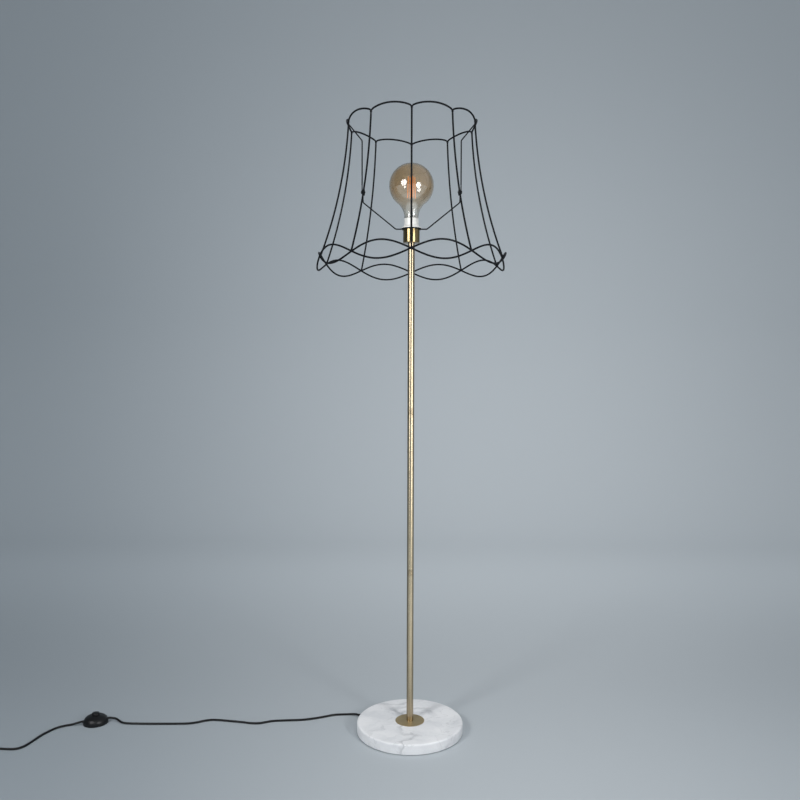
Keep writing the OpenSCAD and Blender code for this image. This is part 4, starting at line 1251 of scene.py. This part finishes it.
@dataclass
class ShadeFrame:
    """Scalloped wire shade on its carrier: top ring in arches, bowed ribs, two crossing waves, two hangers."""

    carrier: Carrier
    wire: float = 2 * MM
    bead: float = 2.55 * MM
    count: int = 10
    top_radius: float = 149 * MM
    top_z: float = 1.4140
    lobe: float = 11 * MM
    low_radius: float = 215 * MM
    cross_z: float = 1.1060
    wave: float = 19.5 * MM
    offset: float = 2.05 * MM
    rib_radius: float = 1.020
    rib_top_gap: float = 2.1 * MM
    rib_low_gap: float = 3.2 * MM
    knee: float = 118 * MM

    def waves(self) -> None:
        """Two waves of the lower rim, half a period apart, beside each other where they cross."""
        shape = WireTree("lower_wave", Radius=self.low_radius, Height=self.cross_z, Wire=self.wire, Rise=self.wave,
                         Periods=self.count / 2, Phase=0.0)
        turns = (shape.angle(), shape.start["Periods"], shape.start["Phase"])
        turns = add(shape.tree, "Math", turns, operation="MULTIPLY_ADD")
        shape.finish(shape.ring(480, add(shape.tree, "Math", (turns,), operation="COSINE")))
        for side, phase, node in ((1, 0.0, "wave_outer"), (-1, math.pi, "wave_inner")):
            shape.run(f"{node}_wire", node, Radius=self.low_radius + side * self.offset, Phase=phase)

    def top(self) -> None:
        """Top ring with an arch between two ribs."""
        shape = WireTree("top_ring", Radius=self.top_radius, Height=self.top_z, Wire=self.wire, Rise=self.lobe,
                         Lobes=float(self.count))
        tree = shape.tree
        lobes = add(tree, "Math", (shape.angle(), shape.start["Lobes"]), operation="MULTIPLY")
        turns = add(tree, "Math", (lobes, 1 / math.tau, self.count + 0.5), operation="MULTIPLY_ADD")
        # The share of the way between two ribs gives an arch, steep at its ends and round at its top.
        t = add(tree, "Math", (turns,), operation="FRACT")
        hump = add(tree, "Math", (t, add(tree, "Math", (1.0, t), operation="SUBTRACT")), operation="MULTIPLY")
        root = add(tree, "Math", (hump,), operation="SQRT")
        shape.finish(shape.ring(24 * self.count, add(tree, "Math", (hump, 2.0, root), operation="MULTIPLY_ADD")))
        shape.run("top_ring_wire", "top_ring")

    def rib_point(self, z: float) -> Vector:
        """Point of a rib's centreline at a height, in the plane of its own radius.

        Args:
            z: Height.

        Returns:
            Radius, zero and height.
        """
        top, low = Vector((self.top_radius, self.top_z)), Vector((self.low_radius, self.cross_z))
        chord = low - top
        normal = Vector((-chord.y, chord.x)).normalized()
        centre = (top + low) / 2 + normal * math.sqrt(self.rib_radius ** 2 - (chord.length / 2) ** 2)
        return Vector((centre.x - math.sqrt(self.rib_radius ** 2 - (z - centre.y) ** 2), 0, z))

    def ribs(self) -> None:
        """Bowed ribs, with a weld bead at each end."""
        shape = WireTree("bowed_ribs", Count=self.count, Wire=self.wire, Bead=self.bead)
        tree, start = shape.tree, shape.start
        high, low = self.top_z - self.rib_top_gap, self.cross_z + self.rib_low_gap
        ends = {"Start": high, "Middle": (high + low) / 2, "End": low}
        rib = add(tree, "GeometryNodeCurveArc", {
            "Resolution": 64, **{label: self.rib_point(z) for label, z in ends.items()}}, mode="POINTS")
        joined = add(tree, "GeometryNodeJoinGeometry")
        for spot, stretch in ((self.rib_point(low) + Vector((0.4 * MM, 0, -1.4 * MM)), (1.0, 1.0, 0.9)),
                              (self.rib_point(high) + Vector((0, 0, 0.2 * MM)), (0.9, 1.15, 0.85))):
            bead = add(tree, "GeometryNodeMeshUVSphere", {"Segments": 16, "Rings": 10, "Radius": start["Bead"]})
            feed(tree, joined.node, (add(tree, "GeometryNodeTransform", {
                "Geometry": bead, "Translation": spot, "Scale": stretch}),))
        feed(tree, joined.node, (shape.wire(rib, True),))
        share = add(tree, "Math", (add(tree, "GeometryNodeInputIndex"), start["Count"]), operation="DIVIDE")
        turn = add(tree, "Math", (share, math.tau, -QUARTER), operation="MULTIPLY_ADD")
        shape.finish(add(tree, "GeometryNodeInstanceOnPoints", {
            "Points": add(tree, "GeometryNodePoints", {"Count": start["Count"]}), "Instance": joined,
            "Rotation": add(tree, "CombineXYZ", {"Z": turn})}))
        shape.run("bowed_rib_set", *(f"rib_{k}" for k in range(1, self.count + 1)))

    def hangers(self) -> None:
        """Wires from the pivots up to the top ring."""
        carrier = self.carrier
        reach, aim = carrier.hanger_reach, Vector((self.top_radius, 0, self.top_z + self.lobe))
        knee = Vector((reach, 0, carrier.pivot_z + self.knee))
        back = (knee - aim).normalized()
        end = aim + back * (self.wire + 0.1 * MM)
        for turn, side in ((0.0, "right"), (math.pi, "left")):
            line = [(reach, 0, carrier.pivot_z + carrier.strap - MM), knee, end]
            form = carrier.strapped(line, reach - carrier.thick / 2, 1, turn)
            form.turned([(0, -1.6 * MM), *arc((0, 0), 2.1 * MM, -60, 80, 8), (0, 2.1 * MM)], 24,
                        Matrix.Rotation(turn, 4, "Z") @ Matrix.Translation(end + back * MM))
            mounted(form.made(f"hanger_wire_{side}", 40), WIRE_PAINT, Body.SHADE, f"hanger_{side}")

    def build(self) -> None:
        """Make the whole frame."""
        for step in (self.top, self.ribs, self.waves, self.hangers):
            step()


@dataclass
class GlobeBulb:
    """Amber globe bulb: glass, screw cap, stem, filament sticks and their supports."""

    radius: float = 51.7 * MM
    neck: float = 16.5 * MM
    fillet: float = 42 * MM
    fillet_z: float = 1.2068
    wall: float = 0.9 * MM
    cap_top: float = 1.2053
    cap_low: float = 1.1858
    cap_radius: float = 13.1 * MM
    thread: float = 3.6 * MM
    foot: float = 12.4 * MM
    sticks: int = 4
    filament_turn: float = 20.0
    filament_low: float = 1.2510
    filament_length: float = 50 * MM
    filament_ring: float = 9.5 * MM
    filament_lean: float = 1.5 * MM
    filament_radius: float = 1.1 * MM
    support: float = 0.4 * MM

    def outline(self, wall: float) -> list[tuple[float, float]]:
        """Half outline of the glass, drawn in by a wall.

        Args:
            wall: Distance inside the outer skin.

        Returns:
            Radius and height pairs from the foot to the top.
        """
        middle = self.neck + self.fillet
        rise = math.sqrt((self.radius + self.fillet) ** 2 - middle ** 2)
        meet = math.degrees(math.atan2(rise, middle))
        foot, neck, rim = self.foot - wall, self.neck - wall, self.cap_top
        shoulder = [(foot, rim - 6 * MM), (foot, rim + 0.3 * MM + wall), (neck - 1.2 * MM, rim + 0.6 * MM + wall / 2),
                    (neck, rim + 1.2 * MM)]
        line = [*(tuple(p) for p in rounded(shoulder, 0.8 * MM, 4)),
                *arc((middle, self.fillet_z), self.fillet + wall, 180, 180 - meet, 32),
                *arc((0, self.fillet_z + rise), self.radius - wall, -meet, 90, 64)[1:]]
        return [*line[:-1], (0.0, line[-1][1])]

    def shell(self) -> None:
        """Make the glass and the screw cap."""
        shell = Form().turned([*reversed(self.outline(0)), *self.outline(self.wall)], 128)
        mounted(shell.made("amber_globe", 60), AMBER_GLASS, Body.BULB, "bulb_glass")
        low, top, r, inset = self.cap_low, self.cap_top, self.cap_radius, 4 * MM
        start, run = top - 3 * MM, top - low - 6 * MM
        cap = [(r - 0.6 * MM, top), (r - 0.1 * MM, top)]
        # The rolled thread is drawn as rounded rings.
        for fall in (run * k / 59 for k in range(60)):
            cap.append((r - 0.5 * MM + 0.5 * MM * math.cos(math.tau * fall / self.thread), start - fall))
        cap += [(r - 0.9 * MM, low + 1.2 * MM), (r - 1.8 * MM, low), (inset, low), (inset, low + 0.6 * MM),
                (r - 2.2 * MM, low + 0.6 * MM), (r - 1.6 * MM, low + 1.6 * MM), (r - 1.6 * MM, top)]
        mounted(Form().turned(cap, 64).made("screw_cap", 50), NICKEL, Body.BULB, "bulb_cap")

    def inside(self) -> None:
        """Make the stem, the sticks and the wires that hold them."""
        low, high = (corner.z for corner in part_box("bulb_stem"))
        r = self.foot - self.wall - 0.2 * MM
        stem = [(0, low), (r, low), (r * 0.72, low + 3 * MM), (r * 0.5, low + 8 * MM), (3.4 * MM, low + 17 * MM),
                (2.4 * MM, low + 21 * MM), (2.4 * MM, high - 6 * MM), (3.6 * MM, high - 3.5 * MM),
                (2.6 * MM, high - MM), (1.6 * MM, high), (0, high)]
        curve = [tuple(p) for p in rounded(stem, 4 * MM, 5)]
        mounted(Form().turned(curve, 48).made("glass_stem", 60), CLEAR_GLASS, Body.BULB, "bulb_stem")
        sticks, wires, gap, wire = Form(), Form(), 0.5 * MM, self.support
        tip, head_ring = self.filament_low + self.filament_length, self.filament_ring - self.filament_lean
        for a in (math.radians(self.filament_turn) + turn for turn in angles(self.sticks)):
            foot, head = circle(self.filament_ring, a, self.filament_low), circle(head_ring, a, tip)
            sticks.swept([foot.lerp(head, t) for t in (0, 0.02, 0.06, 0.5, 0.94, 0.98, 1)],
                         lambda t: self.filament_radius * (0.55 if t in (0, 1) else 1.0), 16)
            wires.swept([(0, 0, foot.z - gap), foot - Vector((0, 0, gap))], wire, 8)
        wires.turned([(head_ring + wire * math.cos(a), tip + gap + wire * math.sin(a)) for a in angles(8)], 48)
        mounted(sticks.made("filament_sticks", 50), FILAMENT, Body.BULB, "bulb_filaments")
        mounted(wires.made("filament_wires", 50), ZINC, Body.BULB, "bulb_supports")

    def build(self) -> None:
        """Make every piece of the bulb."""
        self.shell()
        self.inside()


@dataclass
class Studio:
    """Pale seamless cove, soft lamps, and the camera at the photograph's place."""

    focal_px: float = 804.678
    frame_px: float = 800.0
    sensor: float = 36.0
    place: Point = (0.0, -1.876372, 0.860933)
    right: Point = (0.999904, 0.013606, 0.002630)
    up: Point = (-0.003178, 0.040423, 0.999178)
    ahead: Point = (-0.013489, 0.999090, -0.040463)
    half: float = 30.0
    back: float = 3.2
    bend: float = 1.2
    high: float = 6.5
    sky: float = 0.56
    core: float = 0.45
    apart: float = 0.02

    def camera(self) -> None:
        """Set the camera where the photograph was taken."""
        data = bpy.data.cameras.new("camera")
        data.sensor_width, data.lens, data.clip_end = self.sensor, self.focal_px * self.sensor / self.frame_px, 50.0
        camera = linked("camera", data)
        turn = Matrix((self.right, self.up, [-c for c in self.ahead])).transposed()
        camera.matrix_world = Matrix.Translation(self.place) @ turn.to_4x4()
        bpy.context.scene.camera = camera

    def cove(self) -> None:
        """Floor and backdrop in one curved sheet."""
        flat = self.back - self.bend
        line = [(-self.half, 0.0), (flat, 0.0), *arc((flat, self.bend), self.bend, -90, 0, 24)[1:],
                (self.back, self.high)]
        mesh, data = bmesh.new(), bpy.data.meshes.new("cove")
        rows = [[mesh.verts.new((x, y, z)) for x in (-self.half, self.half)] for y, z in line]
        for a, b in zip(rows, rows[1:]):
            mesh.faces.new((a[0], a[1], b[1], b[0]))
        mesh.to_mesh(data)
        mesh.free()
        data.shade_smooth()
        data.materials.append(COVE_PAINT.material())
        linked("cove", data)

    def lamp(self, name: str, place: Point, aim: Point, size: float, power: float, shine: float = 0.0) -> None:
        """Add one round soft box, and the brighter twin that only shiny surfaces mirror.

        Args:
            name: Name of the lamp.
            place: Where it stands.
            aim: Point that it faces.
            size: Diameter of the twin; the lamp that lights is smaller by core, for soft but readable shadows.
            power: Power in watts, 0 for none.
            shine: Power of the twin in watts, 0 for none.
        """
        spot, aim = Vector(place), Vector(aim)
        for label, watts, mirrored in ((name, power, False), (f"{name}_shine", shine, True)):
            if not watts:
                continue
            data = bpy.data.lights.new(label, "AREA")
            data.shape, data.size, data.energy = "DISK", size if mirrored else size * self.core, watts
            lamp = linked(label, data)
            # The twin stands a little nearer, because of two lamps in one place only one would be mirrored.
            lamp.location = spot.lerp(aim, self.apart if mirrored else 0.0)
            lamp.rotation_euler = (aim - spot).to_track_quat("-Z", "Y").to_euler()
            lamp.visible_glossy, lamp.visible_diffuse = mirrored, not mirrored
            lamp.visible_camera = lamp.visible_transmission = False

    def world(self) -> None:
        """Even grey sky that lights, and mirrors darker on the left than on the right."""
        world = bpy.data.worlds.new("studio")
        world.use_nodes = True
        bpy.context.scene.world = world
        tree = world.node_tree
        side = add(tree, "SeparateXYZ", (add(tree, "TexCoord", out="Generated"),))
        mirrored = add(tree, "MapRange", (side, -0.6, 0.8, 0.2, 0.85))
        seen = add(tree, "Mix", {0: add(tree, "LightPath", out="Is Glossy Ray"), 2: self.sky, 3: mirrored})
        feed(tree, tree.nodes["Background"], {"Color": linear("#c9cdd1"), "Strength": seen})

    def build(self) -> None:
        """Set up cove, world and lamps, each with place, aim, diameter, power and the power that mirrors show."""
        self.cove()
        self.world()
        bulb = (0, 0, 1.28)
        self.lamp("left_softbox", (-1.375, -1.70, 1.52), bulb, 1.15, 28, 26)
        self.lamp("right_softbox", (1.29, -1.76, 1.06), bulb, 0.96, 22, 19)
        self.lamp("left_low", (-1.32, -1.78, 0.66), bulb, 0.5, 0, 4.5)
        self.lamp("right_low", (1.05, -1.12, 0.49), bulb, 0.6, 0, 5)
        self.lamp("overhead", (0.3, 0.1, 2.9), (0.3, 0.3, 0), 4.0, 22)
        bpy.context.scene.view_settings.view_transform = "Standard"


def dress_cad_nodes() -> None:
    """Give each CAD node that stays its finish."""
    for name, finish in CAD_FINISHES.items():
        data = frame["nodes"][name].data
        data.materials.clear()
        data.materials.append(finish.material())
        log.info("%s keeps its CAD shape", name)


def main() -> None:
    """Build the studio and the lamp in order."""
    logging.basicConfig(level=logging.INFO, format="%(name)s: %(message)s")
    studio, switch, carrier, nodes = Studio(), FootSwitch(), Carrier(), frame["nodes"]
    studio.camera()
    cords = MainsCord().build(switch)
    relief, coil_end = CordFittings().build()
    on_first = [relief, *switch.build(), *(nodes[f"switch_{part}"] for part in ("base", "contacts", "screws"))]
    for part in (Foot(), Pole(), Lampholder(), carrier, ShadeFrame(carrier), GlobeBulb()):
        part.build()
    dress_cad_nodes()
    studio.build()


if __name__ == "__main__":
    main()
